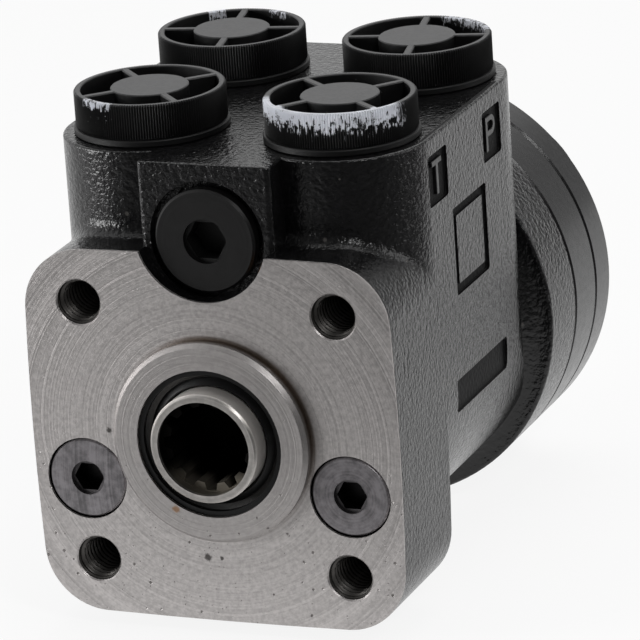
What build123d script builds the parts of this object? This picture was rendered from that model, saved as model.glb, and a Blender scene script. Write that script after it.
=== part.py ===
from build123d import *
import math
import os

# Orbital hydrostatic steering unit, 50 cc a turn, with four ports on top and a four-bolt front flange.
# Millimetres. The origin is where the shaft axis meets the mounting face. +X is to the right as seen
# from the steering column, +Y runs back along the shaft axis and +Z is up, towards the ports.

os.makedirs("parts", exist_ok=True)

# ---------------------------------------------------------------- mounting flange and hub
flange_width = 84.6
flange_height = 82.6
flange_side_bow = 1.2
flange_corner_radius = 14.0
flange_thickness = 28.5
bolt_square = 58.34
bolt_hole_radius = 5.0
bolt_hole_depth = 18.0
bolt_hole_chamfer = 0.3
hub_radius = 22.4
hub_height = 3.0
hub_chamfer = 0.9
dust_pocket_radius = 16.55
bearing_shoulder = 0.4
dust_pocket_depth = 6.0
hub_web = 1.5
shaft_groove_step = 3.4
shaft_groove_width = 3.6
shaft_passage_gap = 0.4

# ---------------------------------------------------------------- body casting
body_step = 0.9
barrel_step = 1.3
port_face_z = 60.0
boss_radius = 19.4
front_boss_y = 29.5
rear_boss_back = 30.0
pad_half_width = 15.2
pad_front_y = 4.0
web_half_width = 18.0
web_rear_back = 7.0
rear_flange_radius = 45.0
rear_flange_thickness = 16.5
housing_length = 106.0
neck_step = 8.0
cast_fillet = 7.0
foot_fillet = 3.5
edge_fillet = 1.2
rim_fillet_share = 0.8
port_thread_radius = 10.48
port_thread_length = 14.5
port_entry_radius = 11.4
port_entry_depth = 3.0
passage_radius = 4.2
bridge_radius = 1.8
passage_foot_x = 13.0
passage_foot_z = 13.0

# ---------------------------------------------------------------- cast panels on the right side
panel_depth = 1.0
panel_corner = 0.8
port_panel = 11.2
port_panel_z = 50.4
panel_relief = 0.8
tank_panel_offset = 4.7
pump_panel_offset = -8.4
square_panel_width = 20.4
square_panel_height = 19.6
square_panel_offset = -1.05
square_panel_z = 31.0
square_panel_border = 2.2
long_panel_width = 31.6
long_panel_height = 7.4
long_panel_offset = 1.25
long_panel_z = -0.8

# ---------------------------------------------------------------- valve group
bore_radius = 18.03
running_gap = 0.03
sleeve_inner_radius = 14.0
sleeve_end_gap = 0.1
annulus_depth = 2.2
annulus_width = 7.0
left_groove_back = 52.0
tank_groove_back = 64.0
right_groove_back = 28.0
pump_groove_back = 40.0
distributor_back = 16.0
nose_radius = 12.2
nose_length = 3.2
spline_teeth = 12
column_spline_major = 10.3
column_spline_minor = 8.7
column_spline_depth = 20.0
column_lead_radius = 10.5
column_lead_depth = 3.0
spool_bore_gap = 1.6
spool_bore_floor = 1.0
valve_angle = 8.0
pin_radius = 4.0
pin_setback = 16.05
pin_fit = 0.03
pin_swing_gap = 0.3
pin_end_gap = 0.2
pin_chamfer = 0.4

# ---------------------------------------------------------------- gear set
lobes = 7
eccentricity = 3.3
lobe_edge = 6.5
lobe_radius = 7.6
gear_gap = 0.04
rim_width = 6.5
wheel_side_gap = 0.02
plate_thickness = 7.5
cover_thickness = 10.0
plate_bore_gap = 0.3
channel_radius = 2.4
channel_edge = 12.0
channel_length = 18.4
ring_edge_chamfer = 0.7
face_groove_edge = 2.0
face_groove_depth = 1.5
face_ring_section = 0.8
wheel_spline_major = 8.6
wheel_spline_minor = 7.3
spacer_thickness = 1.6
spacer_gap = 0.08
cardan_fork_front = 5.5
cardan_fork_rear = 9.0
cardan_fork_radius = 8.4
cardan_radius = 6.2
cardan_spline_length = 4.2
cardan_spline_gap = 0.35
cardan_tooth_share = 0.38
cardan_end_gap = 0.7
fork_gap = 0.25
fork_end_gap = 0.8

# ---------------------------------------------------------------- cover screws
cover_screw_edge = 9.0
cover_screw_radius = 4.0
cover_screw_grip = 12.0
cover_screw_reach = 15.0
cover_screw_clearance = 0.25
thread_gap = 0.05
screw_head_flats = 13.0
screw_head_height = 4.0
washer_radius = 6.9
washer_thickness = 1.0

# ---------------------------------------------------------------- valves in the housing
relief_z = 43.4
relief_spot_radius = 13.0
relief_spot_depth = 2.4
relief_head_radius = 11.4
relief_head_front_y = 2.7
relief_thread_radius = 8.0
relief_thread_length = 14.0
relief_bore_radius = 6.0
relief_bore_back = 34.0
relief_seal_thickness = 1.0
relief_plug_shank = 9.0
relief_socket_mouth = 4.9
relief_socket_depth = 6.0
relief_socket_flats = 8.0
relief_adjuster_y = 24.0
relief_adjuster_length = 9.0
relief_adjuster_flats = 5.0
relief_socket_mouth_depth = 1.2
relief_plug_chamfer = 0.5
relief_seat_length = 12.0
relief_seat_bore = 2.6
relief_nose_length = 3.0
relief_poppet_gap = 0.6
relief_collar = 2.5
relief_stem_radius = 2.6
relief_stem_length = 4.0
relief_coil_gap = 1.2
relief_wire_radius = 0.8
relief_turns = 5
relief_lift = 2.0
notch_radius = 15.1
notch_rise = 2.35
shock_x = 30.4
shock_z = -10.8
shock_head_radius = 8.85
shock_mouth_radius = 9.2
shock_head_depth = 6.0
shock_thread_radius = 7.5
shock_thread_length = 8.0
shock_bore_radius = 5.0
shock_bore_back = 48.0
shock_seat_length = 33.0
shock_seat_radius = 2.6
shock_ball_radius = 3.2
shock_carrier_length = 3.0
shock_adjuster_y = 16.0
shock_adjuster_length = 8.0
shock_adjuster_flats = 4.0
shock_front_gap = 0.2
shock_guide_wall = 0.4
shock_seal_thickness = 1.2
shock_plug_shank = 6.0
shock_socket_mouth = 3.8
shock_socket_depth = 5.0
shock_socket_flats = 6.0
shock_coil_gap = 0.7
shock_wire_radius = 0.7
shock_turns = 5
shock_lift = 1.5
suction_circle_radius = 27.5
suction_depth = 20.0
pin_tip_length = 3.0
pin_tip_radius = 2.5
suction_ball_radius = 3.0
suction_bore_gap = 0.35
suction_seat_radius = 1.8
suction_seat_reach = 8.0
suction_lift = 1.2
suction_pin_radius = 1.8
suction_pin_length = 5.0
check_circle_radius = 24.5
check_ball_radius = 3.6
check_bore_gap = 0.35
check_seat_radius = 2.3
check_seat_back = 46.0
check_lift = 1.5
check_stop_bore = 1.8
check_stop_length = 6.0
check_depth = 18.0
seat_gap = 0.03

# ---------------------------------------------------------------- seals, bearing and springs
seal_ring_wall = 1.4
race_thickness = 2.5
stack_gap = 0.05
race_gap = 0.13
needle_radius = 1.0
needle_length = 3.4
needle_count = 24
needle_circle_step = 3.3
cage_thickness = 1.4
spring_setback = 5.05
spring_width = 4.6
spring_slot_half = 1.5
spring_ring_wall = 1.0
spring_ring_width = 8.0
leaf_count = 3
leaf_thickness = 0.4
leaf_rise = 0.55
leaf_end_gap = 0.4
leaf_core_radius = 6.0
sleeve_holes = 6
sleeve_hole_radius = 1.3
sleeve_hole_reach = 12.0
distributor_holes = 12
spool_grooves = 6
groove_radius = 2.0

# ---------------------------------------------------------------- transit caps
cap_rim_radius = 16.6
cap_rim_height = 1.5
cap_height = 9.3
cap_collar_radius = 16.9
cap_collar_height = 1.5
cap_skirt_radius = 16.1
cap_inner_radius = 15.0
cap_floor = 3.2
cap_disc_radius = 8.5
cap_spoke_width = 1.7
cap_turns = {"front_left": 44.0, "front_right": 50.0, "rear_left": 11.0, "rear_right": 12.0}
cap_spigot_gap = 0.1

# ---------------------------------------------------------------- stations along the shaft
plate_y = housing_length
rim_y = plate_y + plate_thickness
cover_y = rim_y + rim_width
end_y = cover_y + cover_thickness
rear_flange_y = housing_length - rear_flange_thickness
rear_boss_y = housing_length - rear_boss_back
web_rear_y = housing_length - web_rear_back
middle_boss_y = (front_boss_y + rear_boss_y) / 2
dust_floor_y = dust_pocket_depth - hub_height
seal_groove_y = dust_floor_y + hub_web
seal_groove_mid = seal_groove_y + shaft_groove_width / 2
bearing_y = seal_groove_y + shaft_groove_width + hub_web + bearing_shoulder
needle_y = bearing_y + race_thickness + needle_radius + 2 * stack_gap
inner_race_y = needle_y + needle_radius + stack_gap
sleeve_front_y = inner_race_y + race_thickness / 2 + stack_gap
sleeve_length = housing_length - sleeve_end_gap - sleeve_front_y
spool_front_y = sleeve_front_y + stack_gap
spool_end_y = housing_length - sleeve_end_gap - stack_gap
spring_y = sleeve_front_y + spring_setback
pin_y = sleeve_front_y + pin_setback
spool_bore_front_y = pin_y - cardan_fork_front - spool_bore_floor
left_groove_y = housing_length - left_groove_back
tank_groove_y = housing_length - tank_groove_back
right_groove_y = housing_length - right_groove_back
pump_groove_y = housing_length - pump_groove_back
distributor_y = housing_length - distributor_back
spacer_y = cover_y - spacer_thickness
cardan_length = spacer_y - cardan_end_gap - pin_y
screw_hole_y = housing_length - cover_screw_reach
screw_tip_y = housing_length - cover_screw_grip
head_y = end_y + washer_thickness
relief_floor_y = pad_front_y + relief_spot_depth
relief_thread_end = relief_floor_y + relief_thread_length
relief_bore_end_y = housing_length - relief_bore_back
relief_seat_y = relief_bore_end_y - relief_seat_length
shock_thread_end = shock_head_depth + shock_thread_length
shock_bore_end_y = housing_length - shock_bore_back
suction_y = housing_length - suction_depth
suction_seat_end_y = shock_bore_end_y - suction_seat_reach
check_y = housing_length - check_depth
check_seat_end_y = housing_length - check_seat_back

# ---------------------------------------------------------------- radii and places that follow
body_half_width = flange_width / 2 - body_step
barrel_depth = flange_height / 2 - barrel_step
boss_x = body_half_width - boss_radius
neck_radius = rear_flange_radius - neck_step
rim_fillet = (neck_step - cast_fillet) * rim_fillet_share
port_floor_z = port_face_z - port_entry_depth - port_thread_length
bolt_half = bolt_square / 2
notch_z = relief_z + notch_rise
shaft_groove_radius = nose_radius + shaft_groove_step
passage_bore_radius = nose_radius + shaft_passage_gap
race_radius = bore_radius - race_gap
needle_circle_radius = nose_radius + needle_circle_step
sleeve_radius = bore_radius - running_gap
spool_radius = sleeve_inner_radius - running_gap
spool_bore_radius = cardan_fork_radius + spool_bore_gap
spring_ring_inner = sleeve_radius - spring_ring_wall
leaf_half_length = spring_ring_inner - leaf_end_gap
pin_half_length = math.sqrt(sleeve_radius**2 - pin_radius**2) - pin_end_gap
pin_hole_radius = pin_radius + pin_swing_gap + spool_radius * math.sin(math.radians(valve_angle))
lobe_pitch = 360.0 / lobes
lobe_circle_radius = rear_flange_radius - lobe_edge
cover_screw_circle_radius = rear_flange_radius - cover_screw_edge
channel_circle_radius = rear_flange_radius - channel_edge
face_groove_radius = rear_flange_radius - face_groove_edge
plate_bore_radius = wheel_spline_major + eccentricity + plate_bore_gap
cover_screw_hole = cover_screw_radius + thread_gap
relief_poppet_radius = relief_bore_radius - relief_poppet_gap
relief_coil_radius = relief_bore_radius - relief_wire_radius - relief_coil_gap
shock_coil_radius = shock_bore_radius - shock_wire_radius - shock_coil_gap
suction_bore_radius = suction_ball_radius + suction_bore_gap
check_bore_radius = check_ball_radius + check_bore_gap
suction_ball_y = suction_y + math.sqrt(suction_ball_radius**2 - suction_seat_radius**2) + seat_gap
check_ball_y = check_y + math.sqrt(check_ball_radius**2 - check_seat_radius**2) + seat_gap
shock_ball_y = shock_bore_end_y - math.sqrt(shock_ball_radius**2 - shock_seat_radius**2) - seat_gap


def facing(y):
    """A plane parallel to the mounting face and y behind it, drawn with X right and Z up."""
    return Plane.XZ.offset(-y)


def on_circle(radius, angle):
    """A point on a circle about the shaft axis, drawn on a facing plane."""
    return (radius * math.cos(math.radians(angle)), radius * math.sin(math.radians(angle)))


def disc(y, length, radius, places=((0, 0),), mode=Mode.ADD):
    """Round bars (or, subtracted, round holes) that run back from y by length."""
    with BuildSketch(facing(y)) as rounds:
        with Locations(*places):
            Circle(radius)
    extrude(rounds.sketch, amount=-length, mode=mode)


def drill(y, depth, radius, places=((0, 0),)):
    disc(y, depth, radius, places, Mode.SUBTRACT)


def bridge(start, end, radius):
    """A straight drilling from one point to another."""
    way = Vector(*end) - Vector(*start)
    with BuildSketch(Plane(Vector(*start), z_dir=way)) as hole:
        Circle(radius)
    extrude(hole.sketch, amount=way.length, mode=Mode.SUBTRACT)


def box_between(x_range, y_range, z_range, mode=Mode.ADD):
    """A block given by its limits along each axis."""
    centre = [(low + high) / 2 for low, high in (x_range, y_range, z_range)]
    with Locations(tuple(centre)):
        Box(
            x_range[1] - x_range[0],
            y_range[1] - y_range[0],
            z_range[1] - z_range[0],
            mode=mode,
        )


def spread(edge):
    """The limits of an edge: least and greatest X, Y and Z."""
    box = edge.bounding_box()
    return (box.min.X, box.max.X, box.min.Y, box.max.Y, box.min.Z, box.max.Z)


def hexagon(y, depth, flats, places=((0, 0),)):
    """Six-sided sockets that run back from y."""
    with BuildSketch(facing(y)) as sockets:
        with Locations(*places):
            RegularPolygon(flats / 2, 6, major_radius=False)
    extrude(sockets.sketch, amount=-depth, mode=Mode.SUBTRACT)


def ring(y, length, outer, inner, places=((0, 0),)):
    """Plain rings that run back from y."""
    disc(y, length, outer, places)
    drill(y, length, inner, places)


def spline_outline(major, minor, teeth, tooth_share=0.5):
    """The points of a straight-flanked spline, tooth by tooth, about the origin of a sketch."""
    pitch = 360.0 / teeth
    root = pitch * tooth_share / 2 * 1.25
    tip = pitch * tooth_share / 2 * 0.72
    points = []
    for tooth in range(teeth):
        middle = tooth * pitch
        points += [on_circle(minor, middle - root), on_circle(major, middle - tip)]
        points += [on_circle(major, middle + tip), on_circle(minor, middle + root)]
    return points


def valve_coil(y, length, coil_radius, wire_radius, turns, place):
    """A compression spring that fills the length behind y, about a place on the facing plane."""
    height = length - 2 * wire_radius - 0.1
    path = Helix(
        pitch=height / turns,
        height=height,
        radius=coil_radius,
        center=(place[0], y + wire_radius + 0.05, place[1]),
        direction=(0, 1, 0),
        mode=Mode.PRIVATE,
    )
    with BuildSketch(Plane(path @ 0, z_dir=path % 0)) as wire:
        RegularPolygon(wire_radius, 4)
    sweep(wire.sketch, path=path)


def finish(piece, name):
    """Labels a finished piece and writes it."""
    piece.part.label = name
    export_step(piece.part, f"parts/{name}.step")


bolt_places = [(x, z) for x in (-bolt_half, bolt_half) for z in (-bolt_half, bolt_half)]
shock_places = [(-shock_x, shock_z), (shock_x, shock_z)]
port_places = {
    "front_left": (-boss_x, front_boss_y),
    "front_right": (boss_x, front_boss_y),
    "rear_left": (-boss_x, rear_boss_y),
    "rear_right": (boss_x, rear_boss_y),
}
screw_angles = [90 + lobe_pitch * k for k in range(lobes)]
screw_places = [on_circle(cover_screw_circle_radius, a) for a in screw_angles]
channel_places = [on_circle(channel_circle_radius, a + lobe_pitch / 2) for a in screw_angles]
suction_places = [on_circle(suction_circle_radius, screw_angles[k]) for k in (2, 5)]
check_place = on_circle(check_circle_radius, screw_angles[6])
tank_panel_y = front_boss_y + tank_panel_offset
pump_panel_y = rear_boss_y + pump_panel_offset
square_panel_y = middle_boss_y + square_panel_offset
long_panel_y = middle_boss_y + long_panel_offset
groove_stations = (left_groove_y, tank_groove_y, right_groove_y, pump_groove_y)

# ================================================================ housing: the port block
# Seen from above: a stadium over each pair of ports, a web between them and the relief valve's pad.
with BuildPart() as port_block:
    with BuildSketch(facing(pad_front_y)):
        with BuildLine():
            Line((-body_half_width, 0), (-body_half_width, port_face_z))
            Line((-body_half_width, port_face_z), (body_half_width, port_face_z))
            Line((body_half_width, port_face_z), (body_half_width, 0))
            ThreePointArc((body_half_width, 0), (0, -barrel_depth), (-body_half_width, 0))
        make_face()
    extrude(amount=pad_front_y - web_rear_y)
    with BuildSketch(Plane.XY.offset(port_face_z)):
        with Locations(
            (-boss_x, (front_boss_y + rear_boss_y) / 2),
            (boss_x, (front_boss_y + rear_boss_y) / 2),
        ):
            SlotCenterToCenter(rear_boss_y - front_boss_y, 2 * boss_radius, rotation=90)
        with Locations((0, (front_boss_y + web_rear_y) / 2)):
            Rectangle(2 * web_half_width, web_rear_y - front_boss_y)
        with Locations((0, (pad_front_y + front_boss_y) / 2)):
            Rectangle(2 * pad_half_width, front_boss_y - pad_front_y)
    extrude(amount=-2 * (port_face_z + body_half_width), mode=Mode.INTERSECT)

# ================================================================ housing: casting
with BuildPart() as housing:
    with BuildSketch(facing(0)) as flange_face:
        corner_x = flange_width / 2 - flange_side_bow
        corner_z = flange_height / 2 - flange_side_bow / 2
        with BuildLine():
            ThreePointArc((-corner_x, -corner_z), (-flange_width / 2, 0), (-corner_x, corner_z))
            ThreePointArc((-corner_x, corner_z), (0, flange_height / 2), (corner_x, corner_z))
            ThreePointArc((corner_x, corner_z), (flange_width / 2, 0), (corner_x, -corner_z))
            ThreePointArc((corner_x, -corner_z), (0, -flange_height / 2), (-corner_x, -corner_z))
        make_face()
        fillet(flange_face.vertices(), flange_corner_radius)
    extrude(amount=-flange_thickness)
    add(port_block.part)
    disc(rear_flange_y, rear_flange_thickness, rear_flange_radius)
    with BuildSketch(Plane.XY) as neck:
        with BuildLine():
            Polyline((0, web_half_width), (neck_radius, web_half_width))
            Line((neck_radius, web_half_width), (neck_radius, rear_flange_y - cast_fillet))
            RadiusArc(
                (neck_radius, rear_flange_y - cast_fillet),
                (neck_radius + cast_fillet, rear_flange_y),
                cast_fillet,
            )
            Polyline((neck_radius + cast_fillet, rear_flange_y), (0, rear_flange_y))
            Line((0, rear_flange_y), (0, web_half_width))
        make_face()
    revolve(axis=Axis.Y)
    fillet(
        housing.edges().filter_by(
            lambda e: spread(e)[2] > pad_front_y + 1
            and spread(e)[3] < flange_thickness + 1
            and spread(e)[4] > flange_height / 3
            and spread(e)[5] < flange_height / 2
            and spread(e)[3] - spread(e)[2] > 0.5
            and spread(e)[1] - spread(e)[0] > 0.5
        ),
        foot_fillet,
    )
    fillet(
        housing.edges().filter_by(
            lambda e: abs(spread(e)[2] - pad_front_y) < 0.01
            and abs(spread(e)[3] - pad_front_y) < 0.01
            and spread(e)[5] - spread(e)[4] > 5
            and spread(e)[5] > port_face_z - 1
        ),
        edge_fillet,
    )
    fillet(housing.faces().sort_by(Axis.Z)[-1].edges(), edge_fillet / 2)
    fillet(
        housing.edges().filter_by(
            lambda e: abs(spread(e)[2] - rear_flange_y) < 0.01
            and abs(spread(e)[3] - rear_flange_y) < 0.01
            and max(spread(e)[1], -spread(e)[0]) > rear_flange_radius - 0.1
        ),
        rim_fillet,
    )
    chamfer(
        housing.edges().filter_by(
            lambda e: abs(spread(e)[2] - housing_length) < 0.01
            and spread(e)[1] > rear_flange_radius - 0.1
        ),
        ring_edge_chamfer,
    )

    # hub, with the pockets for the dust seal, the shaft seal and the bearing
    with BuildSketch(facing(-hub_height)):
        Circle(hub_radius)
    extrude(amount=-hub_height)
    chamfer(
        housing.edges().filter_by(lambda e: abs(spread(e)[3] + hub_height) < 0.01),
        hub_chamfer,
    )
    drill(-hub_height, dust_pocket_depth, dust_pocket_radius)
    drill(-hub_height, hub_height + bearing_y, passage_bore_radius)
    drill(seal_groove_y, shaft_groove_width, shaft_groove_radius)
    drill(bearing_y, housing_length - bearing_y, bore_radius)
    for station in groove_stations:
        drill(station - annulus_width / 2, annulus_width, bore_radius + annulus_depth)

    # mounting holes
    drill(0, bolt_hole_depth, bolt_hole_radius, bolt_places)
    chamfer(
        housing.edges()
        .filter_by(GeomType.CIRCLE)
        .filter_by(
            lambda e: abs(spread(e)[3]) < 0.01
            and abs(spread(e)[1] - spread(e)[0] - 2 * bolt_hole_radius) < 0.01
        ),
        bolt_hole_chamfer,
    )

    # relief valve: the cutter's notch in the flange, the spot face and the stepped bore
    drill(0, pad_front_y, notch_radius, [(0, notch_z)])
    drill(pad_front_y, relief_spot_depth, relief_spot_radius, [(0, relief_z)])
    drill(pad_front_y, relief_thread_end - pad_front_y, relief_thread_radius, [(0, relief_z)])
    drill(pad_front_y, relief_bore_end_y - pad_front_y, relief_bore_radius, [(0, relief_z)])

    # shock valves: stepped bores beside the hub, each ending in a seat over a passage to the bore
    drill(0, shock_head_depth, shock_mouth_radius, shock_places)
    drill(0, shock_thread_end, shock_thread_radius, shock_places)
    drill(0, shock_bore_end_y, shock_bore_radius, shock_places)
    drill(0, shock_bore_end_y + shock_seat_length, shock_seat_radius, shock_places)

    # ports: an entry recess, the thread and a slanting passage down to one groove of the bore
    for (x, y), station in zip(port_places.values(), groove_stations):
        with BuildSketch(Plane.XY.offset(port_face_z)) as entry:
            with Locations((x, y)):
                Circle(port_entry_radius)
        extrude(entry.sketch, amount=-port_entry_depth, mode=Mode.SUBTRACT)
        with BuildSketch(Plane.XY.offset(port_face_z)) as thread:
            with Locations((x, y)):
                Circle(port_thread_radius)
        extrude(thread.sketch, amount=port_floor_z - port_face_z, mode=Mode.SUBTRACT)
        start = (x, y, port_floor_z + passage_radius / 2)
        bridge(start, (math.copysign(passage_foot_x, x), station, passage_foot_z), passage_radius)

    # rear face: seven screw holes, seven channels to the gear set, two suction valves, one check valve
    drill(screw_hole_y, cover_screw_reach, cover_screw_hole, screw_places)
    drill(housing_length - channel_length, channel_length, channel_radius, channel_places)
    for x, z in channel_places:
        bridge((x, distributor_y, z), (x / 3, distributor_y, z / 3), bridge_radius)
    drill(suction_y, housing_length - suction_y, suction_bore_radius, suction_places)
    drill(suction_seat_end_y, suction_y - suction_seat_end_y, suction_seat_radius, suction_places)
    drill(check_y, housing_length - check_y, check_bore_radius, [check_place])
    drill(check_seat_end_y, check_y - check_seat_end_y, check_seat_radius, [check_place])

    # cross drillings: relief valve to pressure and tank, shock and suction valves to their grooves
    foot_x = passage_foot_x
    relief_end = relief_bore_end_y + 1.5 * bridge_radius
    drill(relief_bore_end_y, 3 * bridge_radius, relief_seat_bore, [(0, relief_z)])
    bridge((0, relief_end, relief_z), (foot_x * 1.5, relief_end, relief_z - 7), bridge_radius)
    bridge((0, tank_groove_y, relief_z), (foot_x * 1.4, tank_groove_y - 8, relief_z - 9), bridge_radius)
    bridge((check_place[0], check_y + 6, check_place[1]), (0, check_y + 6, 0), bridge_radius)
    foot_radius = bore_radius + annulus_depth / 2
    foot_angle = math.degrees(math.atan2(shock_z, shock_x))
    groove_x, groove_z = on_circle(foot_radius, foot_angle)
    for side, groove_y in ((-1, left_groove_y), (1, right_groove_y)):
        start_y = max(groove_y, shock_bore_end_y + 8)
        bridge(
            (side * shock_x, tank_groove_y, shock_z),
            (side * groove_x, tank_groove_y, groove_z),
            bridge_radius,
        )
        bridge((side * shock_x, start_y, shock_z), (side * groove_x, groove_y, groove_z), bridge_radius)

    # cast panels on the right side: a small one below each port, a square one and a long one
    for middle_y, middle_z, width, height in (
        (tank_panel_y, port_panel_z, port_panel, port_panel),
        (pump_panel_y, port_panel_z, port_panel, port_panel),
        (square_panel_y, square_panel_z, square_panel_width, square_panel_height),
        (long_panel_y, long_panel_z, long_panel_width, long_panel_height),
    ):
        with BuildSketch(Plane.YZ.offset(body_half_width)) as panel:
            with Locations((middle_y, middle_z)):
                RectangleRounded(width, height, panel_corner)
        extrude(panel.sketch, amount=-panel_depth, mode=Mode.SUBTRACT)
    with BuildSketch(Plane.YZ.offset(body_half_width - panel_depth)) as raised:
        with Locations((square_panel_y, square_panel_z)):
            Rectangle(
                square_panel_width - 2 * square_panel_border,
                square_panel_height - 2 * square_panel_border,
            )
    extrude(raised.sketch, amount=panel_relief)
finish(housing, "housing")

# ================================================================ seals and thrust bearing
with BuildPart() as dust_seal:
    with BuildSketch(Plane.XY) as lip:
        with BuildLine():
            Polyline(
                (dust_pocket_radius - 0.05, -hub_height + 0.8),
                (dust_pocket_radius - 0.05, dust_floor_y - 0.05),
                (nose_radius + running_gap, dust_floor_y - 0.05),
                (nose_radius + running_gap, -hub_height + 2.6),
                (nose_radius + 0.6, -hub_height + 1.7),
                (nose_radius + 2.0, -hub_height + 2.6),
                (dust_pocket_radius - 1.2, -hub_height + 2.0),
                (dust_pocket_radius - 1.2, -hub_height + 0.8),
                (dust_pocket_radius - 0.05, -hub_height + 0.8),
            )
        make_face()
    revolve(axis=Axis.Y)
finish(dust_seal, "dust_seal")

with BuildPart() as shaft_seal_ring:
    ring(
        seal_groove_y + 0.05,
        shaft_groove_width - 0.1,
        nose_radius + seal_ring_wall,
        nose_radius + running_gap,
    )
finish(shaft_seal_ring, "shaft_seal_ring")

with BuildPart() as shaft_seal_o_ring:
    with BuildSketch(Plane.XY):
        with Locations(((nose_radius + seal_ring_wall + shaft_groove_radius) / 2, seal_groove_mid)):
            RegularPolygon((shaft_groove_step - seal_ring_wall) / 2 - 0.03, 8)
    revolve(axis=Axis.Y)
finish(shaft_seal_o_ring, "shaft_seal_o_ring")

with BuildPart() as bearing_outer_race:
    ring(bearing_y + 0.05, race_thickness, race_radius, passage_bore_radius + 0.2)
finish(bearing_outer_race, "bearing_outer_race")

with BuildPart() as bearing_cage:
    ring(needle_y - cage_thickness / 2, cage_thickness, race_radius - 0.2, nose_radius + 0.9)
    with Locations(facing(needle_y)):
        with PolarLocations(needle_circle_radius, needle_count):
            Box(
                needle_length + 0.2,
                2 * needle_radius + 0.1,
                2 * cage_thickness,
                mode=Mode.SUBTRACT,
            )
finish(bearing_cage, "bearing_cage")

with BuildPart() as bearing_needles:
    with Locations(Plane.XZ.offset(-needle_y)):
        with PolarLocations(needle_circle_radius, needle_count):
            Cylinder(needle_radius, needle_length, rotation=(0, 90, 0))
finish(bearing_needles, "bearing_needles")

with BuildPart() as bearing_inner_race:
    ring(inner_race_y, race_thickness / 2, race_radius, nose_radius + 0.3)
finish(bearing_inner_race, "bearing_inner_race")

# ================================================================ control sleeve and its springs
with BuildPart() as control_sleeve:
    ring(sleeve_front_y, sleeve_length, sleeve_radius, sleeve_inner_radius)
    # the front end is turned down for the ring that keeps the springs in
    ring_seat = spring_ring_width + 1
    with BuildSketch(facing(sleeve_front_y)) as turned:
        Circle(sleeve_radius + 1)
        Circle(spring_ring_inner - running_gap, mode=Mode.SUBTRACT)
    extrude(turned.sketch, amount=-ring_seat, mode=Mode.SUBTRACT)
    box_between(
        (-sleeve_radius - 1, sleeve_radius + 1),
        (spring_y - spring_width / 2 - 0.1, spring_y + spring_width / 2 + 0.1),
        (-spring_slot_half, spring_slot_half),
        Mode.SUBTRACT,
    )
    with Locations((0, pin_y, 0)):
        Cylinder(pin_radius + pin_fit, 3 * sleeve_radius, mode=Mode.SUBTRACT)
    for station in (*groove_stations, distributor_y):
        count = distributor_holes if station == distributor_y else sleeve_holes
        with Locations(facing(station)):
            with PolarLocations(sleeve_radius, count, start_angle=station):
                Cylinder(
                    sleeve_hole_radius,
                    sleeve_hole_reach,
                    rotation=(0, 90, 0),
                    mode=Mode.SUBTRACT,
                )
finish(control_sleeve, "control_sleeve")

with BuildPart() as spring_ring:
    ring(sleeve_front_y + 0.6, spring_ring_width, sleeve_radius - 0.02, spring_ring_inner)
finish(spring_ring, "spring_ring")

with BuildPart() as neutral_springs:
    # two facing packs of arched leaves, three to a pack, that touch near their ends
    for side in (-1, 1):
        for leaf in range(leaf_count):
            low = leaf * leaf_thickness
            with BuildSketch(Plane.XZ.offset(-spring_y)) as arch:
                with BuildLine():
                    ThreePointArc(
                        (-leaf_half_length, side * (0.02 + low)),
                        (0, side * (0.02 + low + leaf_rise)),
                        (leaf_half_length, side * (0.02 + low)),
                    )
                    Line(
                        (leaf_half_length, side * (0.02 + low)),
                        (leaf_half_length, side * (low + leaf_thickness)),
                    )
                    ThreePointArc(
                        (leaf_half_length, side * (low + leaf_thickness)),
                        (0, side * (low + leaf_thickness + leaf_rise)),
                        (-leaf_half_length, side * (low + leaf_thickness)),
                    )
                    Line(
                        (-leaf_half_length, side * (low + leaf_thickness)),
                        (-leaf_half_length, side * (0.02 + low)),
                    )
                make_face()
            extrude(arch.sketch, amount=spring_width / 2, both=True)
finish(neutral_springs, "neutral_springs")

with BuildPart() as cross_pin:
    with Locations((0, pin_y, 0)):
        Cylinder(pin_radius, 2 * pin_half_length)
    chamfer(cross_pin.edges().filter_by(GeomType.CIRCLE), pin_chamfer)
finish(cross_pin, "cross_pin")

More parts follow.
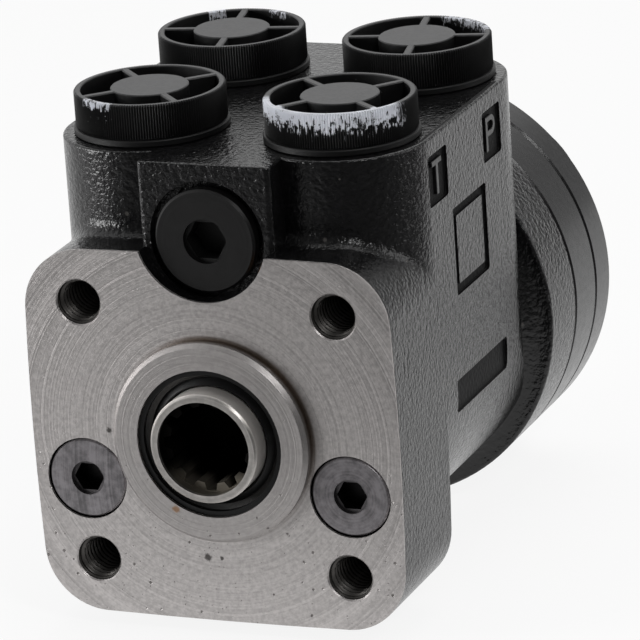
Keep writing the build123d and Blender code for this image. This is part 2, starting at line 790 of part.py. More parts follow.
# ================================================================ control spool
with BuildPart() as control_spool:
    disc(-hub_height - nose_length, hub_height + nose_length + spool_front_y, nose_radius)
    disc(spool_front_y, spool_end_y - spool_front_y, spool_radius)
    chamfer(control_spool.edges().filter_by(lambda e: spread(e)[3] < -hub_height), 0.5)
    drill(-hub_height - nose_length, column_lead_depth, column_lead_radius)
    with BuildSketch(facing(-hub_height - nose_length)) as column_spline:
        Circle(column_spline_major)
        with BuildLine():
            Polyline(
                *spline_outline(column_spline_major + 0.5, column_spline_minor, spline_teeth),
                close=True,
            )
        make_face(mode=Mode.INTERSECT)
    extrude(column_spline.sketch, amount=-column_spline_depth, mode=Mode.SUBTRACT)
    drill(spool_bore_front_y, spool_end_y - spool_bore_front_y, spool_bore_radius)
    # the spring slot and the pin holes are opened by the angle that the valve turns
    for turn in (-valve_angle, 0, valve_angle):
        with Locations(Location((0, spring_y, 0), (0, turn, 0))):
            Box(
                2 * spool_radius + 2,
                spring_width + 0.4,
                2 * (spring_slot_half + 0.25),
                mode=Mode.SUBTRACT,
            )
    with Locations((0, spring_y, 0)):
        Cylinder(
            leaf_core_radius,
            spring_width + 0.4,
            rotation=(90, 0, 0),
            mode=Mode.SUBTRACT,
        )
    with Locations((0, pin_y, 0)):
        Cylinder(pin_hole_radius, 3 * spool_radius, mode=Mode.SUBTRACT)
    # metering grooves along the spool, and the holes that let oil into its bore
    groove_start = tank_groove_y + annulus_width
    groove_places = [on_circle(spool_radius + groove_radius / 2, 60 * k) for k in range(spool_grooves)]
    drill(groove_start, distributor_y + groove_radius - groove_start, groove_radius, groove_places)
    with Locations(facing(tank_groove_y)):
        with PolarLocations(spool_radius, spool_grooves, start_angle=30):
            Cylinder(
                sleeve_hole_radius,
                sleeve_hole_reach,
                rotation=(0, 90, 0),
                mode=Mode.SUBTRACT,
            )
finish(control_spool, "control_spool")

# ================================================================ gear set
# The wheel has one tooth fewer than the rim has lobes. Seen from the wheel, each lobe's centre runs
# along R e^(it) - e e^(7it), and the wheel's outline lies inside that path by the lobe's radius.
def wheel_point(t):
    """A point of the wheel's outline for the angle t of a lobe's centre."""
    x = lobe_circle_radius * math.cos(t) - eccentricity * math.cos(lobes * t)
    y = lobe_circle_radius * math.sin(t) - eccentricity * math.sin(lobes * t)
    dx = -lobe_circle_radius * math.sin(t) + lobes * eccentricity * math.sin(lobes * t)
    dy = lobe_circle_radius * math.cos(t) - lobes * eccentricity * math.cos(lobes * t)
    inset = (lobe_radius + gear_gap) / math.hypot(dx, dy)
    return (x - dy * inset, y + dx * inset)


def wheel_facing(y):
    """A plane across the wheel, drawn from the wheel's centre with X towards the first lobe."""
    return Plane((0, y, eccentricity), x_dir=(0, 0, 1), z_dir=(0, -1, 0))


wheel_steps = 8 * (lobes - 1)
root_radius = lobe_circle_radius - lobe_radius + 2 * eccentricity

with BuildPart() as gear_rim:
    disc(rim_y, rim_width, rear_flange_radius)
    with BuildSketch(facing(rim_y)) as chamber:
        Circle(root_radius)
        with Locations(*[on_circle(lobe_circle_radius, a) for a in screw_angles]):
            Circle(lobe_radius, mode=Mode.SUBTRACT)
    extrude(chamber.sketch, amount=-rim_width, mode=Mode.SUBTRACT)
    drill(rim_y, rim_width, cover_screw_radius + cover_screw_clearance, screw_places)
    chamfer(
        gear_rim.edges().filter_by(
            lambda e: abs(spread(e)[2] - cover_y) < 0.01 and spread(e)[1] > rear_flange_radius - 0.1
        ),
        ring_edge_chamfer,
    )
finish(gear_rim, "gear_rim")

with BuildPart() as gear_wheel:
    # drawn from the wheel's own centre, with the sketch's X towards the first lobe
    with BuildSketch(wheel_facing(rim_y + wheel_side_gap)):
        with BuildLine():
            for k in range(wheel_steps):
                ThreePointArc(
                    wheel_point(2 * math.pi * k / wheel_steps),
                    wheel_point(2 * math.pi * (k + 0.5) / wheel_steps),
                    wheel_point(2 * math.pi * (k + 1) / wheel_steps),
                )
        make_face()
        with BuildLine():
            Polyline(
                *spline_outline(wheel_spline_major, wheel_spline_minor, spline_teeth),
                close=True,
            )
        make_face(mode=Mode.SUBTRACT)
    extrude(amount=-(rim_width - 2 * wheel_side_gap))
finish(gear_wheel, "gear_wheel")

with BuildPart() as rotor_spacer:
    with BuildSketch(wheel_facing(spacer_y)):
        Circle(wheel_spline_minor - spacer_gap)
    extrude(amount=-(cover_y - wheel_side_gap - spacer_y))
finish(rotor_spacer, "rotor_spacer")

# ================================================================ cardan shaft
# It leans from the cross pin on the axis to the wheel's centre, so it is drawn on a leaning plane.
lean_start = Vector(0, pin_y, 0)
lean_end = Vector(0, (rim_y + spacer_y) / 2, eccentricity)
lean_axis = (lean_end - lean_start).normalized()


def leaning(distance):
    """A plane across the cardan shaft, distance beyond the cross pin."""
    return Plane(lean_start + lean_axis * distance, x_dir=(1, 0, 0), z_dir=-lean_axis)


def lean_disc(start, end, radius, mode=Mode.ADD):
    """A round stretch of the cardan shaft between two distances from the cross pin."""
    with BuildSketch(leaning(start)) as stretch:
        Circle(radius)
    extrude(stretch.sketch, amount=start - end, mode=mode)


with BuildPart() as cardan_shaft:
    lean_disc(-cardan_fork_front, cardan_fork_rear, cardan_fork_radius)
    lean_disc(cardan_fork_rear, cardan_length, cardan_radius)
    with BuildSketch(leaning(cardan_length - cardan_spline_length)) as cardan_teeth:
        with BuildLine():
            Polyline(
                *spline_outline(
                    wheel_spline_major - cardan_spline_gap,
                    wheel_spline_minor - cardan_spline_gap,
                    spline_teeth,
                    cardan_tooth_share,
                ),
                close=True,
            )
        make_face()
    extrude(cardan_teeth.sketch, amount=-cardan_spline_length)
    # the fork's slot takes the cross pin and is open to the front
    with BuildSketch(leaning(-cardan_fork_front - 1)) as slot:
        Rectangle(2 * (pin_radius + fork_gap), 2 * cardan_fork_radius + 2)
    extrude(
        slot.sketch,
        amount=-(cardan_fork_front + 1 + pin_radius + fork_end_gap),
        mode=Mode.SUBTRACT,
    )
finish(cardan_shaft, "cardan_shaft")

# ================================================================ plate, cover and their O-rings
with BuildPart() as distributor_plate:
    disc(plate_y, plate_thickness, rear_flange_radius)
    drill(plate_y, plate_thickness, plate_bore_radius)
    drill(plate_y, plate_thickness, cover_screw_radius + cover_screw_clearance, screw_places)
    drill(plate_y, plate_thickness, channel_radius, channel_places)
    drill(plate_y, face_groove_depth, face_groove_radius + face_ring_section)
    disc(plate_y, face_groove_depth, face_groove_radius - face_ring_section)
    drill(plate_y, face_groove_depth, plate_bore_radius)
    drill(plate_y, face_groove_depth, cover_screw_radius + cover_screw_clearance, screw_places)
    drill(plate_y, face_groove_depth, channel_radius, channel_places)
    chamfer(
        distributor_plate.edges().filter_by(
            lambda e: abs(spread(e)[3] - plate_y) < 0.01 and spread(e)[1] > rear_flange_radius - 0.1
        ),
        ring_edge_chamfer,
    )
finish(distributor_plate, "distributor_plate")

with BuildPart() as end_cover:
    disc(cover_y, cover_thickness, rear_flange_radius)
    drill(cover_y, cover_thickness, cover_screw_radius + cover_screw_clearance, screw_places)
    with BuildSketch(facing(cover_y)) as groove:
        Circle(face_groove_radius + face_ring_section)
        Circle(face_groove_radius - face_ring_section, mode=Mode.SUBTRACT)
    extrude(groove.sketch, amount=-face_groove_depth, mode=Mode.SUBTRACT)
    chamfer(
        end_cover.edges().filter_by(
            lambda e: spread(e)[3] - spread(e)[2] < 0.01 and spread(e)[1] > rear_flange_radius - 0.1
        ),
        ring_edge_chamfer,
    )
finish(end_cover, "end_cover")

for name, face_y in (("plate_o_ring", plate_y), ("cover_o_ring", cover_y)):
    with BuildPart() as face_ring:
        with BuildSketch(Plane.XY):
            with Locations((face_groove_radius, face_y + face_groove_depth / 2)):
                RegularPolygon(face_groove_depth / 2 - 0.02, 8)
        revolve(axis=Axis.Y)
    finish(face_ring, name)

# ================================================================ cover screws
with BuildPart() as screw_washers:
    ring(
        end_y,
        washer_thickness,
        washer_radius,
        cover_screw_radius + cover_screw_clearance,
        screw_places,
    )
finish(screw_washers, "screw_washers")

for name, angles, tip in (
    ("cover_screws", screw_angles[1:], 0.0),
    ("pin_screw", screw_angles[:1], pin_tip_length),
):
    places = [on_circle(cover_screw_circle_radius, a) for a in angles]
    with BuildPart() as screws:
        # low heads, each with a flat turned outwards
        with BuildSketch(facing(head_y)) as heads:
            with PolarLocations(cover_screw_circle_radius, len(angles), angles[0], len(angles) * lobe_pitch):
                RegularPolygon(screw_head_flats / 2, 6, major_radius=False, rotation=30)
        extrude(heads.sketch, amount=-screw_head_height)
        disc(screw_tip_y, head_y - screw_tip_y, cover_screw_radius, places)
        if tip:
            disc(screw_tip_y - tip, tip, pin_tip_radius, places)
    finish(screws, name)

# ================================================================ relief valve
relief_place = [(0, relief_z)]

with BuildPart() as relief_plug:
    disc(
        relief_head_front_y,
        relief_floor_y - relief_seal_thickness - relief_head_front_y,
        relief_head_radius,
        relief_place,
    )
    chamfer(relief_plug.edges().filter_by(lambda e: spread(e)[3] < relief_head_front_y + 0.01), 0.5)
    disc(
        relief_floor_y - relief_seal_thickness,
        relief_seal_thickness + relief_plug_shank,
        relief_thread_radius - thread_gap,
        relief_place,
    )
    drill(relief_head_front_y, relief_socket_mouth_depth, relief_socket_mouth, relief_place)
    hexagon(relief_head_front_y, relief_socket_depth, relief_socket_flats, relief_place)
finish(relief_plug, "relief_plug")

with BuildPart() as relief_plug_seal:
    ring(
        relief_floor_y - relief_seal_thickness,
        relief_seal_thickness,
        relief_head_radius - 0.4,
        relief_thread_radius + 0.1,
        relief_place,
    )
finish(relief_plug_seal, "relief_plug_seal")

with BuildPart() as relief_adjuster:
    disc(relief_adjuster_y, relief_adjuster_length, relief_bore_radius - thread_gap, relief_place)
    hexagon(relief_adjuster_y, relief_adjuster_length / 2, relief_adjuster_flats, relief_place)
finish(relief_adjuster, "relief_adjuster")

with BuildPart() as relief_seat:
    disc(
        relief_seat_y,
        relief_seat_length,
        relief_bore_radius - thread_gap,
        relief_place,
    )
    drill(relief_seat_y, relief_seat_length, relief_seat_bore, relief_place)
finish(relief_seat, "relief_seat")

with BuildPart() as relief_poppet:
    with BuildSketch(Plane.YZ) as poppet_half:
        face_gap = relief_nose_length / 10
        cone_radius = (relief_seat_bore - seat_gap) * 1.1
        with BuildLine():
            Polyline(
                (relief_seat_y + relief_nose_length, relief_z),
                (relief_seat_y - face_gap, relief_z + cone_radius),
                (relief_seat_y - face_gap, relief_z + relief_poppet_radius),
                (relief_seat_y - relief_collar, relief_z + relief_poppet_radius),
                (relief_seat_y - relief_collar, relief_z + relief_stem_radius),
                (relief_seat_y - relief_collar - relief_stem_length, relief_z + relief_stem_radius),
                (relief_seat_y - relief_collar - relief_stem_length, relief_z),
                (relief_seat_y + relief_nose_length, relief_z),
            )
        make_face()
    revolve(axis=Axis((0, 0, relief_z), (0, 1, 0)))
finish(relief_poppet, "relief_poppet")

relief_spring_start = relief_adjuster_y + relief_adjuster_length
relief_spring_end = relief_seat_y - relief_collar
with BuildPart() as relief_spring:
    valve_coil(
        relief_spring_start,
        relief_spring_end - relief_spring_start,
        relief_coil_radius,
        relief_wire_radius,
        relief_turns,
        relief_place[0],
    )
finish(relief_spring, "relief_spring")

# ================================================================ shock valves
shock_spring_start = shock_adjuster_y + shock_adjuster_length
shock_spring_end = shock_ball_y - shock_carrier_length - 0.5

with BuildPart() as shock_plugs:
    disc(
        shock_front_gap,
        shock_head_depth - shock_seal_thickness - shock_front_gap,
        shock_head_radius,
        shock_places,
    )
    chamfer(shock_plugs.edges().filter_by(lambda e: spread(e)[3] < shock_front_gap + 0.01), 0.4)
    disc(
        shock_head_depth - shock_seal_thickness,
        shock_seal_thickness + shock_plug_shank,
        shock_thread_radius - thread_gap,
        shock_places,
    )
    drill(shock_front_gap, 1.0, shock_socket_mouth, shock_places)
    hexagon(shock_front_gap, shock_socket_depth, shock_socket_flats, shock_places)
finish(shock_plugs, "shock_plugs")

with BuildPart() as shock_plug_seals:
    ring(
        shock_head_depth - shock_seal_thickness,
        shock_seal_thickness,
        shock_head_radius - 0.2,
        shock_thread_radius + 0.1,
        shock_places,
    )
finish(shock_plug_seals, "shock_plug_seals")

with BuildPart() as shock_adjusters:
    disc(shock_adjuster_y, shock_adjuster_length, shock_bore_radius - thread_gap, shock_places)
    hexagon(shock_adjuster_y, shock_adjuster_length / 2, shock_adjuster_flats, shock_places)
finish(shock_adjusters, "shock_adjusters")

for side, place in zip(("left", "right"), shock_places):
    with BuildPart() as shock_ball:
        with Locations((place[0], shock_ball_y, place[1])):
            Sphere(shock_ball_radius)
        # a guide carries the ball and centres the spring
        disc(
            shock_spring_end,
            shock_ball_y - shock_spring_end,
            shock_ball_radius + shock_guide_wall,
            [place],
        )
    finish(shock_ball, f"shock_ball_{side}")
    with BuildPart() as shock_spring:
        valve_coil(
            shock_spring_start,
            shock_spring_end - shock_spring_start,
            shock_coil_radius,
            shock_wire_radius,
            shock_turns,
            place,
        )
    finish(shock_spring, f"shock_spring_{side}")

# ================================================================ suction and check valves
for side, place in zip(("left", "right"), suction_places):
    with BuildPart() as suction_ball:
        with Locations((place[0], suction_ball_y, place[1])):
            Sphere(suction_ball_radius)
    finish(suction_ball, f"suction_ball_{side}")

suction_stop_y = suction_ball_y + suction_ball_radius + suction_lift
suction_plug_y = suction_stop_y + suction_pin_length - 1
with BuildPart() as suction_pins:
    disc(suction_stop_y, suction_pin_length, suction_pin_radius, suction_places)
    disc(
        suction_plug_y,
        housing_length - 0.1 - suction_plug_y,
        suction_bore_radius - thread_gap,
        suction_places,
    )
finish(suction_pins, "suction_pins")

with BuildPart() as check_ball:
    with Locations((check_place[0], check_ball_y, check_place[1])):
        Sphere(check_ball_radius)
finish(check_ball, "check_ball")

with BuildPart() as check_stop:
    ring(
        check_ball_y + check_ball_radius + check_lift + 0.1,
        check_stop_length,
        check_bore_radius - thread_gap,
        check_stop_bore,
        [check_place],
    )
finish(check_stop, "check_stop")

# ================================================================ transit caps
for corner, (x, y) in port_places.items():
    with BuildPart() as cap:
        # spigot, collar, skirt and rim
        with BuildSketch(Plane.XY.offset(port_face_z - port_entry_depth + cap_spigot_gap)) as spigot:
            with Locations((x, y)):
                Circle(port_entry_radius - cap_spigot_gap)
        extrude(spigot.sketch, amount=port_entry_depth)
        with BuildSketch(Plane.XY.offset(port_face_z + 0.02)) as collar:
            with Locations((x, y)):
                Circle(cap_collar_radius)
        extrude(collar.sketch, amount=cap_collar_height)
        with BuildSketch(Plane.XY.offset(port_face_z + cap_collar_height)) as skirt:
            with Locations((x, y)):
                Circle(cap_skirt_radius)
        extrude(skirt.sketch, amount=cap_height - cap_collar_height - cap_rim_height)
        with BuildSketch(Plane.XY.offset(port_face_z + cap_height - cap_rim_height)) as rim:
            with Locations((x, y)):
                Circle(cap_rim_radius)
        extrude(rim.sketch, amount=cap_rim_height)
        # the open top, with its four spokes and the disc in the middle
        with BuildSketch(Plane.XY.offset(port_face_z + cap_floor)) as well:
            with Locations((x, y)):
                Circle(cap_inner_radius)
                Circle(cap_disc_radius, mode=Mode.SUBTRACT)
            with Locations(Location((x, y), cap_turns[corner])):
                Rectangle(2 * cap_inner_radius + 2, cap_spoke_width, mode=Mode.SUBTRACT)
                Rectangle(cap_spoke_width, 2 * cap_inner_radius + 2, mode=Mode.SUBTRACT)
        extrude(well.sketch, amount=cap_height, mode=Mode.SUBTRACT)
    finish(cap, f"port_cap_{corner}")
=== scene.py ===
"""Orbital steering unit: finishes, caps, threads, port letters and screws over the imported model."""

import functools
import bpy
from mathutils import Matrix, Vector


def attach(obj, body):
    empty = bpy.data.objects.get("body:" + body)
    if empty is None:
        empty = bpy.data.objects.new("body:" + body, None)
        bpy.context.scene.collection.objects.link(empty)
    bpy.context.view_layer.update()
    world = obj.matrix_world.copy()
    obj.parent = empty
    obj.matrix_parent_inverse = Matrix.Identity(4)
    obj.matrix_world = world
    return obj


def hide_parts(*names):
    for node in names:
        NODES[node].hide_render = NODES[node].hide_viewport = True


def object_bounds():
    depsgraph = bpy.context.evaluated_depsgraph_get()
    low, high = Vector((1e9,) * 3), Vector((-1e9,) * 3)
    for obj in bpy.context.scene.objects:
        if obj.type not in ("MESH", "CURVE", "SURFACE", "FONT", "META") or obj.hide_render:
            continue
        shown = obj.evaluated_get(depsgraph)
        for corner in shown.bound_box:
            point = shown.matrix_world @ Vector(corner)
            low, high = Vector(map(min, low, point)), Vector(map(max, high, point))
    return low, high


bl_info = {
    "name": "Orbital Steering Unit",
    "version": (1, 0, 0),
    "blender": (4, 5, 0),
    "location": "3D View > Sidebar > Steering Unit",
    "description": "Dresses a hydrostatic steering unit: paint, port caps, threads and screws",
    "category": "Object",
}

from math import cos, pi, radians, sin, sqrt, tan

import bmesh
import bpy
import numpy as np
from bpy.props import FloatProperty, FloatVectorProperty, IntProperty, PointerProperty
from mathutils import Matrix, Vector

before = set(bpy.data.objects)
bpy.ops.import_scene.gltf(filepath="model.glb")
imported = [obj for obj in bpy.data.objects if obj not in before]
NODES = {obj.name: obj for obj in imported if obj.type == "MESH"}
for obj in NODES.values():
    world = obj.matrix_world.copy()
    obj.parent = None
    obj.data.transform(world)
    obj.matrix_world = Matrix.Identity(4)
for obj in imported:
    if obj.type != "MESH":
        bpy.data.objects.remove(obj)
CAD_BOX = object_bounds()

MM = 0.001
PORTS = {
    "front_left": (-22.0, 29.5),
    "front_right": (22.0, 29.5),
    "rear_left": (-22.0, 76.0),
    "rear_right": (22.0, 76.0),
}
CAP_TURNS = {"front_left": 44.0, "front_right": 50.0, "rear_left": 11.0, "rear_right": 12.0}
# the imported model's holes and screws, in millimetres
BOLT_HALF, BOLT_RADIUS, BOLT_SPAN = 29.17, 5.0, (0.35, 17.95)
PORT_RADIUS, PORT_SPAN = 10.48, (42.6, 56.95)
SCREWS, SCREW_CIRCLE, SCREW_SEAT, SCREW_SHANK = 7, 36.0, 131.0, 3.98
SCREW_TIP, PIN_SCREW_TIP = 94.0, 91.0
# marks on the casting, in metres, and the colours of marks, stains, painted shade and painted
# highlights
DEEP_PITS = (
    ((-0.00345, 0.0, -0.02685), 0.0011),
    ((-0.0002, 0.0, -0.0269), 0.0006),
    ((-0.0244, 0.0, 0.0006), 0.0008),
)
RUST_PLACE, AMBER_PLACE = (-0.0087, -0.003, -0.0152), (0.0122, 0.0016, 0.037)
PIT_COLOUR, DEEP_COLOUR = (0.06, 0.052, 0.045, 1.0), (0.03, 0.027, 0.025, 1.0)
RUST_COLOUR, AMBER_COLOUR = (0.26, 0.12, 0.035, 1.0), (0.30, 0.14, 0.03, 1.0)
FOOT_STAIN_AND_SHADE_COLOUR, BORE_SHADE_COLOUR = (0.085, 0.05, 0.022, 1.0), (0.07, 0.065, 0.06, 1.0)
SPOOL_BORE_SHADE_COLOUR, SPOOL_BORE_HIGHLIGHT_COLOUR = (0.004, 0.0035, 0.003, 1.0), (0.16, 0.145, 0.12, 1.0)
DUST_COLOUR, WHITE = (0.16, 0.15, 0.14, 1.0), (1.0, 1.0, 1.0, 1.0)


# ------------ meshes
def grid_faces(rows, columns, first):
    """Quads between neighbouring rows and columns of a grid whose columns wrap round.

    The grid's points are numbered row by row, starting at first.
    """
    row = np.arange(rows - 1)[:, None] * columns
    column = np.arange(columns)[None, :]
    beside = (column + 1) % columns
    corners = (row + column, row + beside, row + columns + beside, row + columns + column)
    return np.stack(corners, -1).reshape(-1, 4) + first


def surface_object(name, grids, sharp=35.0):
    """One object from grids of points in millimetres, each rows x columns x 3."""
    points, faces, first = [], [], 0
    for grid in grids:
        rows, columns, _ = grid.shape
        points.append(grid.reshape(-1, 3))
        faces.append(grid_faces(rows, columns, first))
        first += rows * columns
    points = np.concatenate(points) * MM
    faces = np.concatenate(faces)
    mesh = bpy.data.meshes.new(name)
    mesh.from_pydata(points.tolist(), [], faces.tolist())
    return finished_object(name, mesh, sharp)


def finished_object(name, mesh, sharp=35.0):
    """Merges doubles, turns the faces outwards, and links the mesh's object at the origin.

    Edges over the sharp angle, in degrees, stay crisp.
    """
    work = bmesh.new()
    work.from_mesh(mesh)
    bmesh.ops.remove_doubles(work, verts=work.verts, dist=1e-7)
    bmesh.ops.dissolve_degenerate(work, edges=work.edges, dist=1e-8)
    bmesh.ops.recalc_face_normals(work, faces=work.faces)
    work.to_mesh(mesh)
    work.free()
    mesh.shade_smooth()
    mesh.set_sharp_from_angle(angle=radians(sharp))
    made = bpy.data.objects.new(name, mesh)
    bpy.context.scene.collection.objects.link(made)
    return made


def turned(profile, segments, place, swell=None):
    """A grid of a turned shape about an upright axis through place, from (radius, height) pairs.

    Each point is (r cos t, r sin t) for t once round. Swell adds to the radius, from a function of
    the row and t.
    """
    profile = np.asarray(profile, float)
    t = np.linspace(0, 2 * pi, segments, endpoint=False)
    radius = np.repeat(profile[:, :1], segments, axis=1)
    if swell is not None:
        radius = radius + swell(profile[:, :1], profile[:, 1:], t[None, :])
    x = place[0] + radius * np.cos(t)
    y = place[1] + radius * np.sin(t)
    z = np.repeat(profile[:, 1:], segments, axis=1)
    return np.stack([x, y, z], -1)


def lying(grid):
    """Lays a grid along the shaft: its height becomes Y and its Y becomes Z."""
    return np.stack([grid[..., 0], grid[..., 2], grid[..., 1]], -1)


def rounded_bar(place, turn, start, end, width, low, high, edge=0.25):
    """A grid of a bar that runs outwards from place at an angle, from radius start to end.

    Its section is a rectangle with small flats at the two top corners, carried along a straight
    path and closed to a point at both ends.
    """
    half, side = width / 2, high - edge
    right = [(half, low), (half, side), (half - edge, high)]
    section = np.array([(-half, low), *right, (edge - half, high), (-half, side)])
    along = np.array([start, start, end, end])
    scale = np.array([0.0, 1.0, 1.0, 0.0])[:, None]
    middle = np.array([0.0, (low + high) / 2])
    cut = middle + (section[None, :, :] - middle) * scale[:, :, None]
    cosine, sine = cos(turn), sin(turn)
    x = place[0] + along[:, None] * cosine - cut[..., 0] * sine
    y = place[1] + along[:, None] * sine + cut[..., 0] * cosine
    return np.stack([x, y, cut[..., 1]], -1)


def thread_sleeve(place, radius, pitch, depth, span, segments=48, steps=8, wall=0.06):
    """A grid of an internal thread about an upright axis: a closed sleeve with the thread inside.

    The inner radius is radius - depth x ridge, where ridge is a triangle wave, flattened at its top
    and root, of height / pitch - angle / a full turn. It fades in over the first turn.
    """
    low, high = span
    t = np.linspace(0, 2 * pi, segments, endpoint=False)
    rows = int(round((high - low) / pitch * steps)) + 1
    height = np.linspace(low, high, rows)[:, None]
    phase = height / pitch - t[None, :] / (2 * pi)
    wave = 2 * np.abs(phase - np.floor(phase) - 0.5)
    ridge = np.clip(wave * 1.5 - 0.25, 0, 1)
    fade = np.clip((height - low) / pitch, 0, 1)
    inner = radius - depth * ridge * fade
    outer = np.full((2, segments), radius + wall)
    radii = np.concatenate([outer[:1], inner, outer[1:], outer[:1]])
    z = np.concatenate([[[low]], height, [[high]], [[low]]]) + np.zeros((1, segments))
    return np.stack([place[0] + radii * np.cos(t), place[1] + radii * np.sin(t), z], -1)


def hex_screw(place, turn, flats, top, seat, shank, tip):
    """A grid of a hexagon screw along Y, with a flat towards turn and a cone cut on its head.

    The head's radius at angle t is the smaller of the hexagon's, half the flats over the cosine of
    the angle to the nearest flat's middle, and that of a cone of 30 degrees at that height.
    """
    segments, slope, tip_edge = 72, tan(radians(60)), 0.8
    t = np.linspace(0, 2 * pi, segments, endpoint=False)
    to_flat = (t - turn + pi / 6) % (pi / 3) - pi / 6
    hexagon = flats / 2 / np.cos(to_flat)
    corner = flats / sqrt(3)
    face = flats * 0.475
    drop = np.linspace(0, (corner - face) / slope, 9)[:, None]
    cone = face + drop * slope
    head = np.minimum(hexagon[None, :], cone)
    y = [np.full((1, segments), top), top - drop + np.zeros((1, segments))]
    y += [np.full((1, segments), v) for v in (seat, seat, tip + tip_edge, tip, tip)]
    radii = [np.zeros((1, segments)), head, hexagon[None, :]]
    radii += [np.full((1, segments), v) for v in (shank, shank, shank - tip_edge, 0.0)]
    radii, y = np.concatenate(radii), np.concatenate(y)
    return np.stack([place[0] + radii * np.cos(t), y, place[1] + radii * np.sin(t)], -1)


# ------------ node trees
class Graph:
    """Adds nodes to one node tree. An input may be given a number, a colour or an output."""

    def __init__(self, tree):
        self.tree = tree

    def feed(self, socket, value):
        if isinstance(value, bpy.types.NodeSocket):
            self.tree.links.new(value, socket)
        else:
            socket.default_value = value

    def node(self, kind, inputs=None, **settings):
        made = self.tree.nodes.new("ShaderNode" + kind)
        for key, value in settings.items():
            setattr(made, key, value)
        for key, value in (inputs or {}).items():
            self.feed(made.inputs[key], value)
        return made

    def math(self, operation, *values, clamp=False):
        inputs = dict(enumerate(values))
        return self.node("Math", inputs, operation=operation, use_clamp=clamp).outputs[0]

    def add(self, first, second):
        return self.math("ADD", first, second)

    def minus(self, first, second):
        return self.math("SUBTRACT", first, second)

    def times(self, first, second):
        return self.math("MULTIPLY", first, second)

    def over(self, first, second):
        return self.math("DIVIDE", first, second)

    def most(self, first, second):
        return self.math("MAXIMUM", first, second)

    def swing(self, value, amount):
        """How far a value between 0 and 1 lies from its middle, times amount."""
        return self.times(self.minus(value, 0.5), amount)

    def weigh(self, first, share, second, rest):
        """The sum of two values, each times its own share."""
        return self.add(self.times(first, share), self.times(second, rest))

    def reach(self, first, second):
        """The length of a vector in a plane."""
        return self.math("SQRT", self.add(self.times(first, first), self.times(second, second)))

    def vector(self, operation, *values):
        made = self.node("VectorMath", dict(enumerate(values)), operation=operation)
        return made.outputs["Value" if operation in ("DOT_PRODUCT", "DISTANCE") else "Vector"]

    def split(self, vector):
        return self.node("SeparateXYZ", {0: vector}).outputs

    def about(self, vector, x, y, z):
        """A place as seen from the point x, y, z."""
        return self.node("Mapping", {"Vector": vector, "Location": (-x, -y, -z)}).outputs[0]

    def ease(self, value, low, high, to_low=0.0, to_high=1.0):
        """A smooth step from to_low at low to to_high at high."""
        inputs = dict(enumerate((value, low, high, to_low, to_high)))
        return self.node("MapRange", inputs, interpolation_type="SMOOTHSTEP").outputs[0]

    def blend(self, factor, first, second):
        """A colour between two colours."""
        return self.node("Mix", {0: factor, 6: first, 7: second}, data_type="RGBA").outputs[2]

    def lay(self, under, mask, share, over):
        """A colour laid over another where a mask shows, by no more than share."""
        return self.blend(self.times(mask, share), under, over)

    def mottle(self, value, low, high, tint, dark, light):
        """A tint times dark where value is low, and times light where it is high."""
        return self.blend(self.ease(value, low, high), shade(tint, dark), shade(tint, light))

    def between(self, factor, first, second):
        """A number between two numbers."""
        return self.node("Mix", {0: factor, 2: first, 3: second}, data_type="FLOAT").outputs[0]

    def noise(self, vector, scale, detail=2.0, roughness=0.5):
        inputs = {"Vector": vector, "Scale": scale, "Detail": detail, "Roughness": roughness}
        return self.node("TexNoise", inputs).outputs[0]

    def streak(self, value, **inputs):
        """Noise along a line."""
        return self.node("TexNoise", {"W": value, **inputs}, noise_dimensions="1D").outputs[0]

    def use(self, group, **inputs):
        return self.node("Group", inputs, node_tree=group).outputs

    def cover(self, kind, factor, under, over):
        """Mixes two shaders into the tree's output."""
        mixed = self.node("MixShader", {0: factor, 1: under.outputs[0], 2: over.outputs[0]})
        self.node("Output" + kind, {0: mixed.outputs[0]})


def shade(value, factor):
    """A colour with its three parts times factor, and no transparency."""
    return (value[0] * factor, value[1] * factor, value[2] * factor, 1.0)


def shared(build):
    """Keeps one node group per effect, under its function's name, and gives it out each time."""

    @functools.wraps(build)
    def group():
        return bpy.data.node_groups.get(build.__name__) or build()

    return group


def effect(name, numbers, results):
    """A new shader node group that takes a Vector and numbers with their defaults.

    It gives back the group, its graph, its inputs and its outputs.
    """
    tree = bpy.data.node_groups.new(name, "ShaderNodeTree")
    for label, default in {"Vector": (0.0, 0.0, 0.0), **numbers}.items():
        kind = "NodeSocketVector" if isinstance(default, tuple) else "NodeSocketFloat"
        socket = tree.interface.new_socket(name=label, in_out="INPUT", socket_type=kind)
        socket.default_value = default
    for label in results:
        tree.interface.new_socket(name=label, in_out="OUTPUT", socket_type="NodeSocketFloat")
    given = tree.nodes.new("NodeGroupInput").outputs
    return tree, Graph(tree), given, tree.nodes.new("NodeGroupOutput").inputs


@shared
def turning_marks():
    """Rings about the Y axis of an object's own space, as a lathe leaves them, uneven in depth."""
    tree, g, given, out = effect("turning_marks", {"Pitch": 0.0006}, ["Height", "Tone"])
    x, _, z = g.split(given["Vector"])
    turn = g.over(g.reach(x, z), given["Pitch"])
    fine = g.streak(turn, Scale=1.0, Detail=3.0, Roughness=0.6)
    broad = g.streak(turn, Scale=0.16, Detail=2.0)
    g.feed(out["Height"], fine)
    g.feed(out["Tone"], g.weigh(fine, 0.55, broad, 0.45))
    return tree


@shared
def orange_peel():
    """The soft pebbles of thick sprayed paint or of a cast skin under it."""
    tree, g, given, out = effect("orange_peel", {"Size": 0.0012}, ["Height", "Tone"])
    scale = g.over(1.0, given["Size"])
    pebbles = g.noise(given["Vector"], scale, 2.0, 0.55)
    coarse = g.noise(given["Vector"], g.times(scale, 0.22), 3.0, 0.6)
    inputs = {"Vector": given["Vector"], "Scale": g.times(scale, 0.8)}
    cells = g.node("TexVoronoi", inputs, feature="SMOOTH_F1").outputs["Distance"]
    g.feed(out["Height"], g.minus(g.weigh(pebbles, 0.7, coarse, 0.3), g.times(cells, 0.35)))
    g.feed(out["Tone"], g.ease(pebbles, 0.3, 0.72))
    return tree


